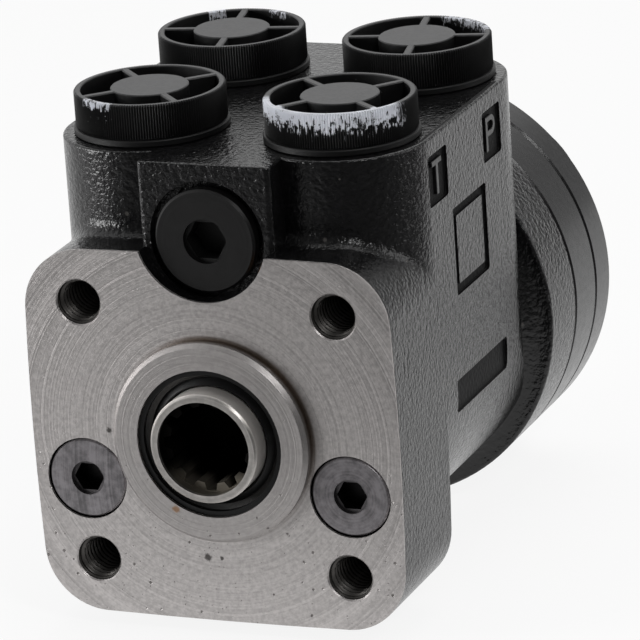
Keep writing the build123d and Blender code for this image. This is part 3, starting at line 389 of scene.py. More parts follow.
@shared
def specks():
    """Small round marks scattered over a surface; Amount is the share of cells with one."""
    tree, g, given, out = effect("specks", {"Spacing": 0.003, "Amount": 0.3}, ["Mask"])
    inputs = {"Vector": given["Vector"], "Scale": g.over(1.0, given["Spacing"])}
    cells = g.node("TexVoronoi", inputs).outputs
    chance, width = g.node("SeparateColor", {0: cells["Color"]}).outputs[:2]
    kept = g.math("LESS_THAN", chance, given["Amount"])
    reach = g.add(0.07, g.times(width, 0.12))
    dot = g.math("SUBTRACT", 1.0, g.over(cells["Distance"], reach), clamp=True)
    g.feed(out["Mask"], g.times(kept, g.ease(dot, 0.0, 0.5)))
    return tree


@shared
def stain():
    """A soft blot about a point, broken at its edge."""
    numbers = {"Centre": (0.0, 0.0, 0.0), "Reach": 0.004, "Grain": 600.0}
    tree, g, given, out = effect("stain", numbers, ["Mask"])
    away = g.over(g.vector("DISTANCE", given["Vector"], given["Centre"]), given["Reach"])
    ragged = g.add(away, g.swing(g.noise(given["Vector"], given["Grain"], 4.0, 0.6), 1.1))
    g.feed(out["Mask"], g.ease(ragged, 1.0, 0.45))
    return tree


@shared
def brushed_smear():
    """Dried pale paint dragged down a cap's side: a band of angles, streaked and ragged.

    Its own space has the cap's axis at the origin. The band runs to Half on each side of Middle, in
    radians, and down to Bottom in metres, which moves by Slope a radian.
    """
    numbers = {"Middle": 0.0, "Half": 1.0, "Bottom": 0.063, "Slope": 0.0, "Cover": 0.5}
    tree, g, given, out = effect("brushed_smear", numbers, ["Mask"])
    x, y, z = g.split(given["Vector"])
    cosine, sine = g.math("COSINE", given["Middle"]), g.math("SINE", given["Middle"])
    ahead = g.add(g.times(x, cosine), g.times(y, sine))
    aside = g.minus(g.times(y, cosine), g.times(x, sine))
    angle = g.math("ARCTAN2", aside, ahead)
    streaks = g.node("CombineXYZ", {0: g.times(angle, 16.0), 1: g.times(z, 170.0), 2: 0.0})
    drag = g.noise(streaks.outputs[0], 2.2, 5.0, 0.62)
    fine = g.noise(given["Vector"], 900.0, 3.0, 0.6)
    off_middle = g.over(g.math("ABSOLUTE", angle), given["Half"])
    side = g.ease(g.add(off_middle, g.swing(drag, 0.5)), 1.0, 0.86)
    foot = g.add(given["Bottom"], g.times(angle, given["Slope"]))
    above = g.minus(z, g.add(foot, g.swing(drag, 0.009)))
    fall = g.ease(above, -0.0002, 0.0011)
    cover = g.minus(given["Cover"], g.ease(z, 0.0688, given["Bottom"], 0.0, 0.13))
    gaps = g.ease(g.weigh(drag, 0.6, fine, 0.4), cover, g.add(cover, -0.05))
    outer = g.ease(g.add(g.reach(x, y), g.swing(fine, 0.004)), 0.0137, 0.0147)
    g.feed(out["Mask"], g.times(g.times(side, fall), g.times(gaps, outer)))
    return tree


def empty_graph(owner):
    """The graph of a material's or world's node tree, with nothing in it."""
    owner.use_nodes = True
    owner.node_tree.nodes.clear()
    return Graph(owner.node_tree)


def start_material(name):
    """A new material, its graph and its Object coordinates."""
    made = bpy.data.materials.new(name)
    g = empty_graph(made)
    return made, g, g.node("TexCoord").outputs["Object"]


def coat(g, colour, roughness, height, strength, distance, metallic=0.0, specular=0.5):
    """Ends a material with its Principled shader. Height is the bump's, and distance its depth."""
    bump = g.node("Bump", {"Height": height, "Strength": strength, "Distance": distance})
    inputs = {"Base Color": colour, "Roughness": roughness, "Metallic": metallic}
    inputs.update({"Specular IOR Level": specular, "Normal": bump.outputs[0]})
    g.node("OutputMaterial", {0: g.node("BsdfPrincipled", inputs).outputs[0]})


def dress(names, made):
    """Gives CAD nodes a material through their own slots."""
    for name in names:
        target = NODES[name]
        if not target.material_slots:
            target.data.materials.append(made)
        for slot in target.material_slots:
            slot.material = made


# ------------ materials
def casting_material(opts):
    """Black paint over cast iron, with the mounting face and the hub turned bare."""
    made, g, place = start_material("painted_casting")
    x, y, z = g.split(place)
    radius = g.reach(x, z)

    def blot(centre, reach, grain):
        return g.use(stain(), Vector=place, Centre=centre, Reach=reach, Grain=grain)["Mask"]

    # bare: the face and the hub, the machined bores and pockets behind them, and the rear face
    face = g.ease(g.add(y, g.swing(g.noise(place, 900.0, 3.0), 0.0006)), 0.0007, 0.0003)
    behind = g.ease(g.math("ABSOLUTE", z), 0.03, 0.029)
    bores = g.times(g.ease(radius, 0.0215, 0.0212), behind)
    bare = g.most(g.most(face, bores), g.ease(y, 0.1058, 0.1060))

    rings = g.use(turning_marks(), Vector=place, Pitch=opts.mark_pitch)
    cast = g.noise(place, 900.0, 5.0, 0.7)
    pits = g.use(specks(), Vector=place, Spacing=0.0022, Amount=0.62)["Mask"]
    shifted = g.vector("ADD", place, (0.1, 0.2, 0.3))
    fine_pits = g.use(specks(), Vector=shifted, Spacing=0.0011, Amount=0.40)["Mask"]
    low = g.ease(z, 0.0, -0.022, 0.12, 1.0)
    pitted = g.times(g.most(pits, g.times(fine_pits, 0.6)), low)
    tone = g.weigh(rings["Tone"], 0.4, cast, 0.6)
    iron = g.mottle(tone, 0.36, 0.64, opts.iron, 0.78, 1.14)
    hub = g.times(g.ease(radius, 0.0228, 0.0223), g.ease(y, -0.0002, -0.0006))
    iron = g.lay(iron, hub, 0.6, shade(opts.iron, 0.74))
    iron = g.lay(iron, pitted, 0.75, PIT_COLOUR)
    iron = g.lay(iron, blot(RUST_PLACE, 0.0011, 1500.0), 0.7, RUST_COLOUR)
    # oil has browned the corner round the hub's foot, and painted shade darkens it too, most of all
    # at its upper right, on the side away from the left light
    foot = g.times(g.ease(radius, 0.0238, 0.0226), g.ease(y, -0.0016, -0.0004))
    toward = g.over(g.weigh(x, 0.62, z, 0.78), radius)
    foot = g.times(foot, g.ease(toward, 0.1, 0.8, 0.12, 1.0))
    iron = g.lay(iron, foot, 0.75, FOOT_STAIN_AND_SHADE_COLOUR)
    for spot, reach in DEEP_PITS:
        iron = g.lay(iron, blot(spot, reach, 1800.0), 0.85, DEEP_COLOUR)
    # painted shade: bare iron further than 0.8 mm behind the face, in the bores and pockets, is
    # darkened
    iron = g.lay(iron, g.ease(y, 0.0008, 0.004), 0.6, BORE_SHADE_COLOUR)

    peel = g.use(orange_peel(), Vector=place, Size=opts.peel_size)
    dust = g.use(specks(), Vector=place, Spacing=0.0035, Amount=0.10)["Mask"]
    paint = g.blend(peel["Tone"], shade(opts.paint, 0.7), shade(opts.paint, 1.5))
    paint = g.lay(paint, dust, 0.35, DUST_COLOUR)
    paint = g.lay(paint, blot(AMBER_PLACE, 0.0034, 500.0), 0.8, AMBER_COLOUR)
    # the floors of the side's panels are duller
    sunk = g.times(g.ease(x, 0.0409, 0.0406), g.ease(x, 0.0399, 0.0402))
    along = g.times(g.ease(y, 0.027, 0.0275), g.ease(y, 0.0745, 0.074))
    sunk = g.times(g.times(sunk, along), g.ease(z, -0.0052, -0.0048))
    paint_rough = g.add(opts.paint_roughness, g.swing(peel["Tone"], 0.10))
    paint_rough = g.between(sunk, paint_rough, 0.85)
    iron_rough = g.add(0.36, g.times(tone, 0.16))
    iron_height = g.minus(g.times(rings["Height"], 0.16), g.times(pitted, 0.5))
    colour, rough = g.blend(bare, paint, iron), g.between(bare, paint_rough, iron_rough)
    height = g.between(bare, peel["Height"], iron_height)
    metal = g.times(bare, g.minus(1.0, g.times(pitted, 0.7)))
    coat(g, colour, rough, height, 1.0, opts.peel_depth, metallic=metal, specular=0.42)
    return made


def ring_material(name, paint, roughness, peel_size, peel_depth):
    """Black paint on turned pieces, satin and nearly smooth."""
    made, g, place = start_material(name)
    peel = g.use(orange_peel(), Vector=place, Size=peel_size)
    dust = g.use(specks(), Vector=place, Spacing=0.004, Amount=0.12)["Mask"]
    colour = g.blend(peel["Tone"], shade(paint, 0.8), shade(paint, 1.25))
    colour = g.lay(colour, dust, 0.3, DUST_COLOUR)
    coat(g, colour, g.add(roughness, g.swing(peel["Tone"], 0.08)), peel["Height"], 1.0, peel_depth)
    return made


def steel_material(name, tint, roughness, pitch, dark=0.8):
    """Turned or ground steel with rings about the shaft's axis and a faint film of oil."""
    made, g, place = start_material(name)
    rings = g.use(turning_marks(), Vector=place, Pitch=pitch)
    tone = g.weigh(rings["Tone"], 0.6, g.noise(place, 180.0, 3.0, 0.6), 0.4)
    colour = g.mottle(tone, 0.32, 0.68, tint, dark, 1.08)
    rough = g.add(roughness - 0.06, g.times(tone, 0.14))
    coat(g, colour, rough, rings["Height"], 0.5, 0.00002, metallic=1.0)
    return made


def spool_material(tint):
    """The spool: its nose's side smoother, as if polished by the seal, and brighter as a painted
    highlight; its splined bore painted near-black as shade, with a painted highlight on the lower
    teeth near the mouth.
    """
    made, g, place = start_material("spool_steel")
    x, y, z = g.split(place)
    radius = g.reach(x, z)
    rings = g.use(turning_marks(), Vector=place, Pitch=0.0005)
    tone = g.weigh(rings["Tone"], 0.5, g.noise(place, 500.0, 4.0, 0.65), 0.5)
    steel = g.mottle(tone, 0.34, 0.66, tint, 0.72, 1.12)
    # painted highlight on the nose's outer side, which is also made smoother as if polished by the
    # seal
    side = g.times(g.ease(radius, 0.01190, 0.01205), g.ease(y, -0.0060, -0.0055))
    steel = g.lay(steel, side, 0.85, shade(tint, 1.85))
    # painted shade inside the splined bore, near-black, with a painted highlight on its lower teeth
    # near the mouth
    within = g.times(g.ease(radius, 0.01065, 0.01050), g.ease(y, -0.0058, -0.0050))
    lit_teeth_highlight = g.times(g.ease(z, -0.0045, -0.0085), g.ease(y, 0.004, -0.002))
    bore_shade_and_highlight = g.blend(lit_teeth_highlight, SPOOL_BORE_SHADE_COLOUR, SPOOL_BORE_HIGHLIGHT_COLOUR)
    polish = g.add(g.between(side, 0.28, 0.50), g.times(tone, 0.16))
    colour, rough = g.blend(within, steel, bore_shade_and_highlight), g.between(within, polish, 0.6)
    coat(g, colour, rough, rings["Height"], 0.5, 0.00002, metallic=0.9)
    return made


def oxide_material(name, tint, metal, roughness, centre, socket_y, pitch=0.0007):
    """Blackened or burnished steel: the finish mottles, and turning marks show through.

    Centre is the x and z of the marks' axis, and behind socket_y, in the socket, the colour is
    painted near-black as shade.
    """
    made, g, place = start_material(name)
    own = g.about(place, centre[0], 0.0, centre[1])
    rings = g.use(turning_marks(), Vector=own, Pitch=pitch)
    cloud = g.noise(place, 420.0, 4.0, 0.65)
    tone = g.weigh(rings["Tone"], 0.45, cloud, 0.55)
    finish = g.mottle(tone, 0.36, 0.64, tint, 0.62, 1.3)
    # painted shade: near-black inside the socket, behind socket_y
    socket_shade = g.ease(g.split(place)[1], socket_y, socket_y + 0.0009)
    colour = g.lay(finish, socket_shade, 0.93, shade((1, 1, 1), 0.004))
    rough = g.add(roughness - 0.08, g.times(tone, 0.18))
    height = g.weigh(rings["Height"], 0.6, cloud, 0.6)
    coat(g, colour, rough, height, 0.7, 0.00004, metallic=metal, specular=0.3)
    return made


def rubber_material(name, tint, roughness):
    """Moulded rubber or seal plastic with a fine grain and a little talc."""
    made, g, place = start_material(name)
    grain = g.noise(place, 1500.0, 3.0, 0.6)
    talc = g.noise(place, 240.0, 3.0, 0.6)
    colour = g.mottle(talc, 0.5, 0.75, tint, 0.8, 1.8)
    coat(g, colour, g.add(roughness, g.times(talc, 0.12)), grain, 0.4, 0.00003, specular=0.25)
    return made


def cap_material(name, opts, corner, smears):
    """Matt black moulded plastic; a cap brushed against wet paint keeps pale smears."""
    made, g, place = start_material(name)
    x, y = PORTS[corner]
    own = g.about(place, x * MM, y * MM, 0.0)
    height = g.noise(place, 1400.0, 3.0, 0.6)
    flecks = g.use(specks(), Vector=place, Spacing=0.0022, Amount=0.16)["Mask"]
    worn = g.ease(g.split(place)[2], 0.0688, 0.0692)
    colour = g.mottle(g.noise(place, 210.0, 4.0, 0.6), 0.35, 0.7, opts.plastic, 0.75, 1.35)
    scuffed = g.mottle(g.noise(place, 800.0, 5.0, 0.7), 0.38, 0.62, opts.top, 0.7, 1.25)
    colour = g.lay(colour, worn, 0.5, scuffed)
    colour = g.lay(colour, flecks, 0.25, shade((1, 1, 1), 0.2))
    rough = g.between(worn, opts.roughness, 0.42)
    for middle, half, bottom, slope, cover in smears:
        band = {"Middle": middle, "Half": half, "Bottom": bottom, "Slope": slope, "Cover": cover}
        smear = g.use(brushed_smear(), Vector=own, **band)["Mask"]
        white = g.blend(g.noise(place, 700.0, 3.0), shade(opts.smear, 0.72), shade(opts.smear, 1.0))
        colour = g.blend(smear, colour, white)
        rough = g.between(smear, rough, 0.62)
        height = g.add(height, g.times(smear, 0.8))
    coat(g, colour, rough, height, 0.6, 0.00006, specular=0.38)
    return made


# ------------ settings
class StageSettings(bpy.types.PropertyGroup):
    floor_size: FloatProperty(
        name="Floor size", description="Length of each side of the floor",
        default=6.0, unit="LENGTH",
    )
    floor_colour: FloatVectorProperty(
        name="Floor colour", description="Colour of the plain floor",
        default=(0.93, 0.93, 0.93), subtype="COLOR",
    )
    floor_light: FloatProperty(
        name="Floor light", description="Share of the floor's white that takes no shadow",
        default=0.88,
    )
    world_level: FloatProperty(
        name="World level", description="Strength of the soft light from all round", default=0.45
    )
    reflection_level: FloatProperty(
        name="Reflection level", description="Brightness of the studio that glossy surfaces show",
        default=1.0,
    )
    front_dim: FloatProperty(
        name="Front dimming", description="Share of the studio's light left on the camera's side",
        default=0.10,
    )
    lens: FloatProperty(
        name="Lens", description="Focal length of the camera in millimetres", default=312.305
    )


class HousingSettings(bpy.types.PropertyGroup):
    paint: FloatVectorProperty(
        name="Paint", description="Colour of the casting's black paint",
        default=(0.0042, 0.0041, 0.0044), subtype="COLOR",
    )
    iron: FloatVectorProperty(
        name="Iron", description="Colour of the bare machined iron",
        default=(0.46, 0.438, 0.43), subtype="COLOR",
    )
    paint_roughness: FloatProperty(
        name="Paint roughness", description="Roughness of the painted casting",
        default=0.22, subtype="FACTOR",
    )
    peel_size: FloatProperty(
        name="Orange peel size", description="Width of the paint's pebbles",
        default=0.0009, unit="LENGTH",
    )
    peel_depth: FloatProperty(
        name="Orange peel depth", description="Height of the paint's pebbles",
        default=0.00034, unit="LENGTH",
    )
    mark_pitch: FloatProperty(
        name="Mark pitch", description="Distance between turning marks",
        default=0.00055, unit="LENGTH",
    )


class RingSettings(bpy.types.PropertyGroup):
    paint: FloatVectorProperty(
        name="Paint", description="Colour of the gear set's paint",
        default=(0.0045, 0.0043, 0.0046), subtype="COLOR",
    )
    roughness: FloatProperty(
        name="Roughness", description="Roughness of the paint", default=0.26, subtype="FACTOR"
    )


class CapSettings(bpy.types.PropertyGroup):
    ribs: IntProperty(name="Ribs", description="Number of ribs round a cap's skirt", default=180)
    rib_height: FloatProperty(
        name="Rib height", description="How far each rib stands out", default=0.00032, unit="LENGTH"
    )
    plastic: FloatVectorProperty(
        name="Plastic", description="Colour of the caps",
        default=(0.0014, 0.0014, 0.0016), subtype="COLOR",
    )
    top: FloatVectorProperty(
        name="Top", description="Colour of the scuffed top faces",
        default=(0.05, 0.05, 0.052), subtype="COLOR",
    )
    smear: FloatVectorProperty(
        name="Smear", description="Colour of the dried paint on the caps",
        default=(0.80, 0.82, 0.88), subtype="COLOR",
    )
    roughness: FloatProperty(
        name="Roughness", description="Roughness of the plastic", default=0.5, subtype="FACTOR"
    )


class ThreadSettings(bpy.types.PropertyGroup):
    bolt_pitch: FloatProperty(
        name="Bolt pitch", description="Pitch of the threads in the mounting holes",
        default=0.0015, unit="LENGTH",
    )
    bolt_depth: FloatProperty(
        name="Bolt thread depth", description="Depth of those threads",
        default=0.00078, unit="LENGTH",
    )
    port_pitch: FloatProperty(
        name="Port pitch", description="Pitch of the threads in the ports",
        default=0.001814, unit="LENGTH",
    )
    port_depth: FloatProperty(
        name="Port thread depth", description="Depth of the port threads",
        default=0.00098, unit="LENGTH",
    )


class LetterSettings(bpy.types.PropertyGroup):
    height: FloatProperty(
        name="Height", description="Height of the port letters", default=0.0078, unit="LENGTH"
    )
    stroke: FloatProperty(
        name="Stroke", description="Width of their strokes", default=0.00125, unit="LENGTH"
    )
    relief: FloatProperty(
        name="Relief", description="How far they stand proud", default=0.0008, unit="LENGTH"
    )


class ScrewSettings(bpy.types.PropertyGroup):
    flats: FloatProperty(
        name="Flats", description="Width of the heads across flats", default=0.013, unit="LENGTH"
    )
    head: FloatProperty(
        name="Head height", description="Height of the heads", default=0.004, unit="LENGTH"
    )
    steel: FloatVectorProperty(
        name="Finish", description="Colour of the screws, painted with the unit",
        default=(0.0045, 0.0043, 0.0046), subtype="COLOR",
    )


class PlugSettings(bpy.types.PropertyGroup):
    relief: FloatVectorProperty(
        name="Relief plug", description="Colour of the blackened plug",
        default=(0.0022, 0.0020, 0.0021), subtype="COLOR",
    )
    shock: FloatVectorProperty(
        name="Shock plugs", description="Colour of the two burnished plugs",
        default=(0.20, 0.190, 0.198), subtype="COLOR",
    )


class SteelSettings(bpy.types.PropertyGroup):
    nose: FloatVectorProperty(
        name="Nose", description="Colour of the spool's nose",
        default=(0.46, 0.44, 0.42), subtype="COLOR",
    )
    bright: FloatVectorProperty(
        name="Bright steel", description="Colour of ground steel",
        default=(0.58, 0.56, 0.53), subtype="COLOR",
    )
    spring: FloatVectorProperty(
        name="Spring steel", description="Colour of springs and needles",
        default=(0.42, 0.42, 0.43), subtype="COLOR",
    )
    rubber: FloatVectorProperty(
        name="Rubber", description="Colour of rubber seals",
        default=(0.0035, 0.0035, 0.0037), subtype="COLOR",
    )
    seal_plastic: FloatVectorProperty(
        name="Seal plastic", description="Colour of filled seal plastic",
        default=(0.10, 0.085, 0.07), subtype="COLOR",
    )


# ------------ operators
class StageOperator(bpy.types.Operator):
    """Set the floor, the soft studio light and the camera"""

    bl_idname = "steering.stage"
    bl_label = "Stage"

    def execute(self, context):
        opts = context.scene.steering_stage
        scene = context.scene
        scene.view_settings.view_transform = "Standard"

        camera_data = bpy.data.cameras.new("camera")
        camera_data.lens = opts.lens
        camera_data.clip_end = 20.0
        camera = bpy.data.objects.new("camera", camera_data)
        scene.collection.objects.link(camera)
        across = Vector((0.92852392, 0.36564694, -0.06438666))
        above = Vector((-0.0565552, 0.31069473, 0.94882574))
        back = Vector((0.36693983, -0.877366, 0.30916673))
        eye = Vector((0.45287786, -1.02006644, 0.38793988))
        camera.matrix_world = Matrix((*zip(across, above, back, eye), (0, 0, 0, 1)))
        scene.camera = camera

        # one large plain floor at the lowest point of the unit
        low = CAD_BOX[0][2]
        half = opts.floor_size / 2
        floor_mesh = bpy.data.meshes.new("floor")
        corners = [(-half, -half, low), (half, -half, low), (half, half, low), (-half, half, low)]
        floor_mesh.from_pydata(corners, [], [(0, 1, 2, 3)])
        floor = bpy.data.objects.new("floor", floor_mesh)
        scene.collection.objects.link(floor)
        made = bpy.data.materials.new("plain_floor")
        g = empty_graph(made)
        matt = g.node("BsdfDiffuse", {"Color": shade(opts.floor_colour, 1.0)})
        rays = g.node("LightPath").outputs
        # what glossy surfaces see of the floor is dark in front, at the left and at the far right
        x, y, _ = g.split(g.node("TexCoord").outputs["Object"])
        depth = g.ease(y, -0.28, 0.0, opts.front_dim, 1.0)
        beside = g.ease(x, -0.12, 0.02, 1.0, 0.55)
        beside = g.between(g.ease(y, -0.10, 0.0), beside, 1.0)
        right = g.minus(x, g.times(y, 0.5))
        beside = g.times(beside, g.ease(right, 0.03, 0.16, 1.0, opts.front_dim))
        shine = g.between(rays["Is Glossy Ray"], 1.0, g.times(depth, beside))
        glow = g.node("Emission", {"Color": WHITE, "Strength": shine})
        seen = g.most(rays["Is Camera Ray"], rays["Is Glossy Ray"])
        seen = g.most(seen, rays["Is Transmission Ray"])
        g.cover("Material", g.times(seen, opts.floor_light), matt, glow)
        floor_mesh.materials.append(made)

        # the world is white to the camera; the studio it lights with is dimmer on the camera's side
        world = bpy.data.worlds.new("studio")
        g = empty_graph(world)
        white = g.node("Background", {"Color": WHITE, "Strength": 1.0})
        direction = g.vector("NORMALIZE", g.node("TexCoord").outputs["Generated"])
        facing = g.vector("DOT_PRODUCT", direction, (0.42, -0.85, 0.32))
        dim = g.ease(facing, 0.0, 0.7, 1.0, opts.front_dim)
        toward_flag = g.vector("DOT_PRODUCT", direction, (0.74, 0.55, 0.38))
        dim = g.times(dim, g.ease(toward_flag, 0.66, 0.9, 1.0, 0.35))
        rays = g.node("LightPath").outputs
        level = g.between(rays["Is Glossy Ray"], opts.world_level, opts.reflection_level)
        studio = g.node("Background", {"Color": WHITE, "Strength": g.times(dim, level)})
        g.cover("World", g.most(rays["Is Camera Ray"], rays["Is Transmission Ray"]), studio, white)
        scene.world = world

        for name, place, aim, size, power in (
            ("top_light", (0.1, 0.5, 1.4), (0, 0.06, 0), 1.2, 9.0),
            ("left_light", (-0.75, -0.45, 0.12), (-0.03, 0.0, -0.02), 0.4, 5.5),
            ("right_light", (1.3, 0.5, 0.3), (0.04, 0.07, 0), 0.9, 4.0),
            ("high_light", (0.75, -0.60, 0.85), (0.0, 0.0, 0.0), 0.25, 3.5),
        ):
            data = bpy.data.lights.new(name, "AREA")
            data.shape = "SQUARE"
            data.size = size
            data.energy = power
            lamp = bpy.data.objects.new(name, data)
            lamp.location = place
            lamp.rotation_euler = (Vector(aim) - Vector(place)).to_track_quat("-Z", "Y").to_euler()
            scene.collection.objects.link(lamp)
        return {"FINISHED"}


class HousingOperator(bpy.types.Operator):
    """Finish the casting: black paint, and a bare turned mounting face and hub"""

    bl_idname = "steering.housing"
    bl_label = "Housing"

    def execute(self, context):
        dress(["housing"], casting_material(context.scene.steering_housing))
        return {"FINISHED"}


class RingOperator(bpy.types.Operator):
    """Paint the plate, the gear rim and the end cover"""

    bl_idname = "steering.rings"
    bl_label = "Gear set rings"

    def execute(self, context):
        opts = context.scene.steering_rings
        rings = ring_material("satin_rings", opts.paint, opts.roughness, 0.0016, 0.00002)
        cover = ring_material("satin_cover", opts.paint, opts.roughness - 0.03, 0.0014, 0.00002)
        dress(["distributor_plate", "gear_rim"], rings)
        dress(["end_cover"], cover)
        return {"FINISHED"}


class CapOperator(bpy.types.Operator):
    """Make the four ribbed transit caps"""

    bl_idname = "steering.caps"
    bl_label = "Port caps"

    def execute(self, context):
        opts = context.scene.steering_caps
        # each smear's middle and half in radians, its foot, the foot's slope and its cover
        smears = {
            "front_right": [(-1.57, 1.32, 0.0652, -0.0004, 0.62)],
            "front_left": [(-1.98, 0.27, 0.0668, 0.0, 0.54)],
            "rear_left": [(2.18, 0.14, 0.0664, 0.0, 0.56), (1.20, 0.18, 0.0668, 0.0, 0.50)],
            "rear_right": [(1.00, 0.58, 0.0662, 0.0, 0.53)],
        }
        ribs, proud = opts.ribs, opts.rib_height / MM
        # radii and heights of the stub, the collar, the skirt, the rim, the pocket and the disc
        foot, seat, floor, bevel, top, skirt = 57.1, 60.02, 63.2, 69.1, 69.3, 16.15
        profile = [(0, foot), (10.9, foot), (11.3, 57.5), (11.3, seat), (16.6, seat), (16.9, 60.3)]
        profile += [(16.9, 61.3), (16.75, 61.5), (skirt, 61.6), (skirt, 61.9), (skirt, 68.95)]
        profile += [(15.9, top), (15.2, top), (15.0, bevel), (15.0, floor), (8.5, floor)]
        profile += [(8.5, bevel), (8.3, top), (0, top)]

        def ribbing(radius, height, angle):
            """Ribs: a triangle wave of the angle, on the skirt between the collar and the rim."""
            phase = angle * ribs / (2 * pi)
            wave = 1 - 2 * np.abs(phase - np.floor(phase) - 0.5)
            on_skirt = (radius > 15.8) & (radius < 16.2) & (height > 61.7)
            return np.where(on_skirt, proud * wave, 0.0)

        for corner, place in PORTS.items():
            grids = [turned(profile, ribs * 4, place, ribbing)]
            for quarter in range(4):
                turn = radians(CAP_TURNS[corner] + 90 * quarter)
                grids.append(rounded_bar(place, turn, 8.2, 15.3, 1.7, 63.0, 69.28))
            cap = surface_object("ribbed_cap_" + corner, grids)
            plastic = cap_material("cap_plastic_" + corner, opts, corner, smears[corner])
            cap.data.materials.append(plastic)
            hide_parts("port_cap_" + corner)
            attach(cap, "cap_" + corner)
        return {"FINISHED"}


class ThreadOperator(bpy.types.Operator):
    """Cut the threads of the mounting holes and of the ports"""

    bl_idname = "steering.threads"
    bl_label = "Threads"

    def execute(self, context):
        opts = context.scene.steering_threads
        steel = steel_material("thread_iron", (0.10, 0.095, 0.09), 0.46, 0.0009)
        pitch, depth = opts.bolt_pitch / MM, opts.bolt_depth / MM
        corners = [(x, z) for x in (-BOLT_HALF, BOLT_HALF) for z in (-BOLT_HALF, BOLT_HALF)]
        grids = [
            lying(thread_sleeve(corner, BOLT_RADIUS, pitch, depth, BOLT_SPAN)) for corner in corners
        ]
        bolts = surface_object("bolt_hole_threads", grids, 50.0)
        bolts.data.materials.append(steel)
        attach(bolts, "housing")
        pitch, depth = opts.port_pitch / MM, opts.port_depth / MM
        grids = [
            thread_sleeve(place, PORT_RADIUS, pitch, depth, PORT_SPAN, 72)
            for place in PORTS.values()
        ]
        ports = surface_object("port_threads", grids, 50.0)
        ports.data.materials.append(steel)
        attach(ports, "housing")
        return {"FINISHED"}


def letter_outlines(height, stroke):
    """Outlines of a T and a P about their own middles: lists of closed loops, outer loop first.

    The bowl of the P is a half circle joined to its stem by straight lines; its hole is the same
    shape smaller by the stroke.
    """
    half, width = height / 2, height * 0.74
    arm = half - stroke
    side = [(stroke / 2, -half), (stroke / 2, arm), (width / 2, arm), (width / 2, half)]
    t_loop = [(-x, y) for x, y in reversed(side)] + side
    left = -width / 2
    bowl = height * 0.29
    middle = (left + width - bowl, half - bowl)
    turn = np.linspace(pi / 2, -pi / 2, 17)
    outer = np.stack([middle[0] + bowl * np.cos(turn), middle[1] + bowl * np.sin(turn)], -1)
    p_loop = [(left, -half), (left, half), *map(tuple, outer)]
    p_loop += [(left + stroke, half - 2 * bowl), (left + stroke, -half)]
    inner = bowl - stroke
    hole = np.stack([middle[0] + inner * np.cos(turn), middle[1] + inner * np.sin(turn)], -1)
    stem = left + stroke
    p_hole = [(stem, middle[1] + inner), *map(tuple, hole), (stem, middle[1] - inner)]
    return {"T": [t_loop], "P": [p_loop, p_hole]}


class LetterOperator(bpy.types.Operator):
    """Raise the port letters T and P on their panels"""

    bl_idname = "steering.letters"
    bl_label = "Port letters"

    def execute(self, context):
        opts = context.scene.steering_letters
        outlines = letter_outlines(opts.height, opts.stroke)
        # the panels' floor, how deep the letters are sunk in it, and the panels' middle height
        floor_x, root, middle_z = 0.0404, 0.0002, 0.0504
        black = context.scene.steering_housing.paint
        made = ring_material("letter_paint", black, 0.32, 0.0011, 0.00004)
        for letter, middle_y in (("T", 0.0342), ("P", 0.0676)):
            work = bmesh.new()
            for loop in outlines[letter]:
                places = [(floor_x - root, middle_y + u, middle_z + v) for u, v in loop]
                corners = [work.verts.new(place) for place in places]
                for first, second in zip(corners, corners[1:] + corners[:1]):
                    work.edges.new((first, second))
            bmesh.ops.triangle_fill(work, use_beauty=True, edges=work.edges[:])
            if not work.faces:
                raise RuntimeError("the letter's outline could not be filled")
            lifted = bmesh.ops.extrude_face_region(work, geom=work.faces[:])["geom"]
            moved = [item for item in lifted if isinstance(item, bmesh.types.BMVert)]
            bmesh.ops.translate(work, verts=moved, vec=(opts.relief + root, 0, 0))
            # the fill gives its faces in no fixed order, so they are put in one
            work.verts.index_update()
            loops = [[corner.index for corner in face.verts] for face in work.faces]
            loops = sorted(loop[k:] + loop[:k] for loop in loops for k in [loop.index(min(loop))])
            mesh = bpy.data.meshes.new("port_letter_" + letter)
            mesh.from_pydata([corner.co for corner in work.verts], [], loops)
            work.free()
            raised = finished_object("port_letter_" + letter, mesh)
            raised.data.materials.append(made)
            edge = raised.modifiers.new("soft_edge", "BEVEL")
            edge.width = 0.00015
            edge.segments = 2
            edge.limit_method = "ANGLE"
            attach(raised, "housing")
        return {"FINISHED"}


class ScrewOperator(bpy.types.Operator):
    """Make the seven cover screws and finish their washers"""

    bl_idname = "steering.screws"
    bl_label = "Cover screws"

    def execute(self, context):
        opts = context.scene.steering_screws
        angles = [radians(90 + 360 / SCREWS * k) for k in range(SCREWS)]
        flats, top = opts.flats / MM, SCREW_SEAT + opts.head / MM
        screws = []
        for angle in angles:
            place = (SCREW_CIRCLE * cos(angle), SCREW_CIRCLE * sin(angle))
            tip = SCREW_TIP if screws else PIN_SCREW_TIP
            screws.append(hex_screw(place, angle, flats, top, SCREW_SEAT, SCREW_SHANK, tip))
        plain = surface_object("hex_screws", screws[1:], 20.0)
        pin = surface_object("hex_pin_screw", screws[:1], 20.0)
        steel = ring_material("painted_screws", opts.steel, 0.3, 0.0012, 0.00003)
        for piece, node in ((plain, "cover_screws"), (pin, "pin_screw")):
            piece.data.materials.append(steel)
            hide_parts(node)
            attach(piece, "housing")
        washers = ring_material("painted_washers", opts.steel, 0.34, 0.0012, 0.00002)
        dress(["screw_washers"], washers)
        return {"FINISHED"}


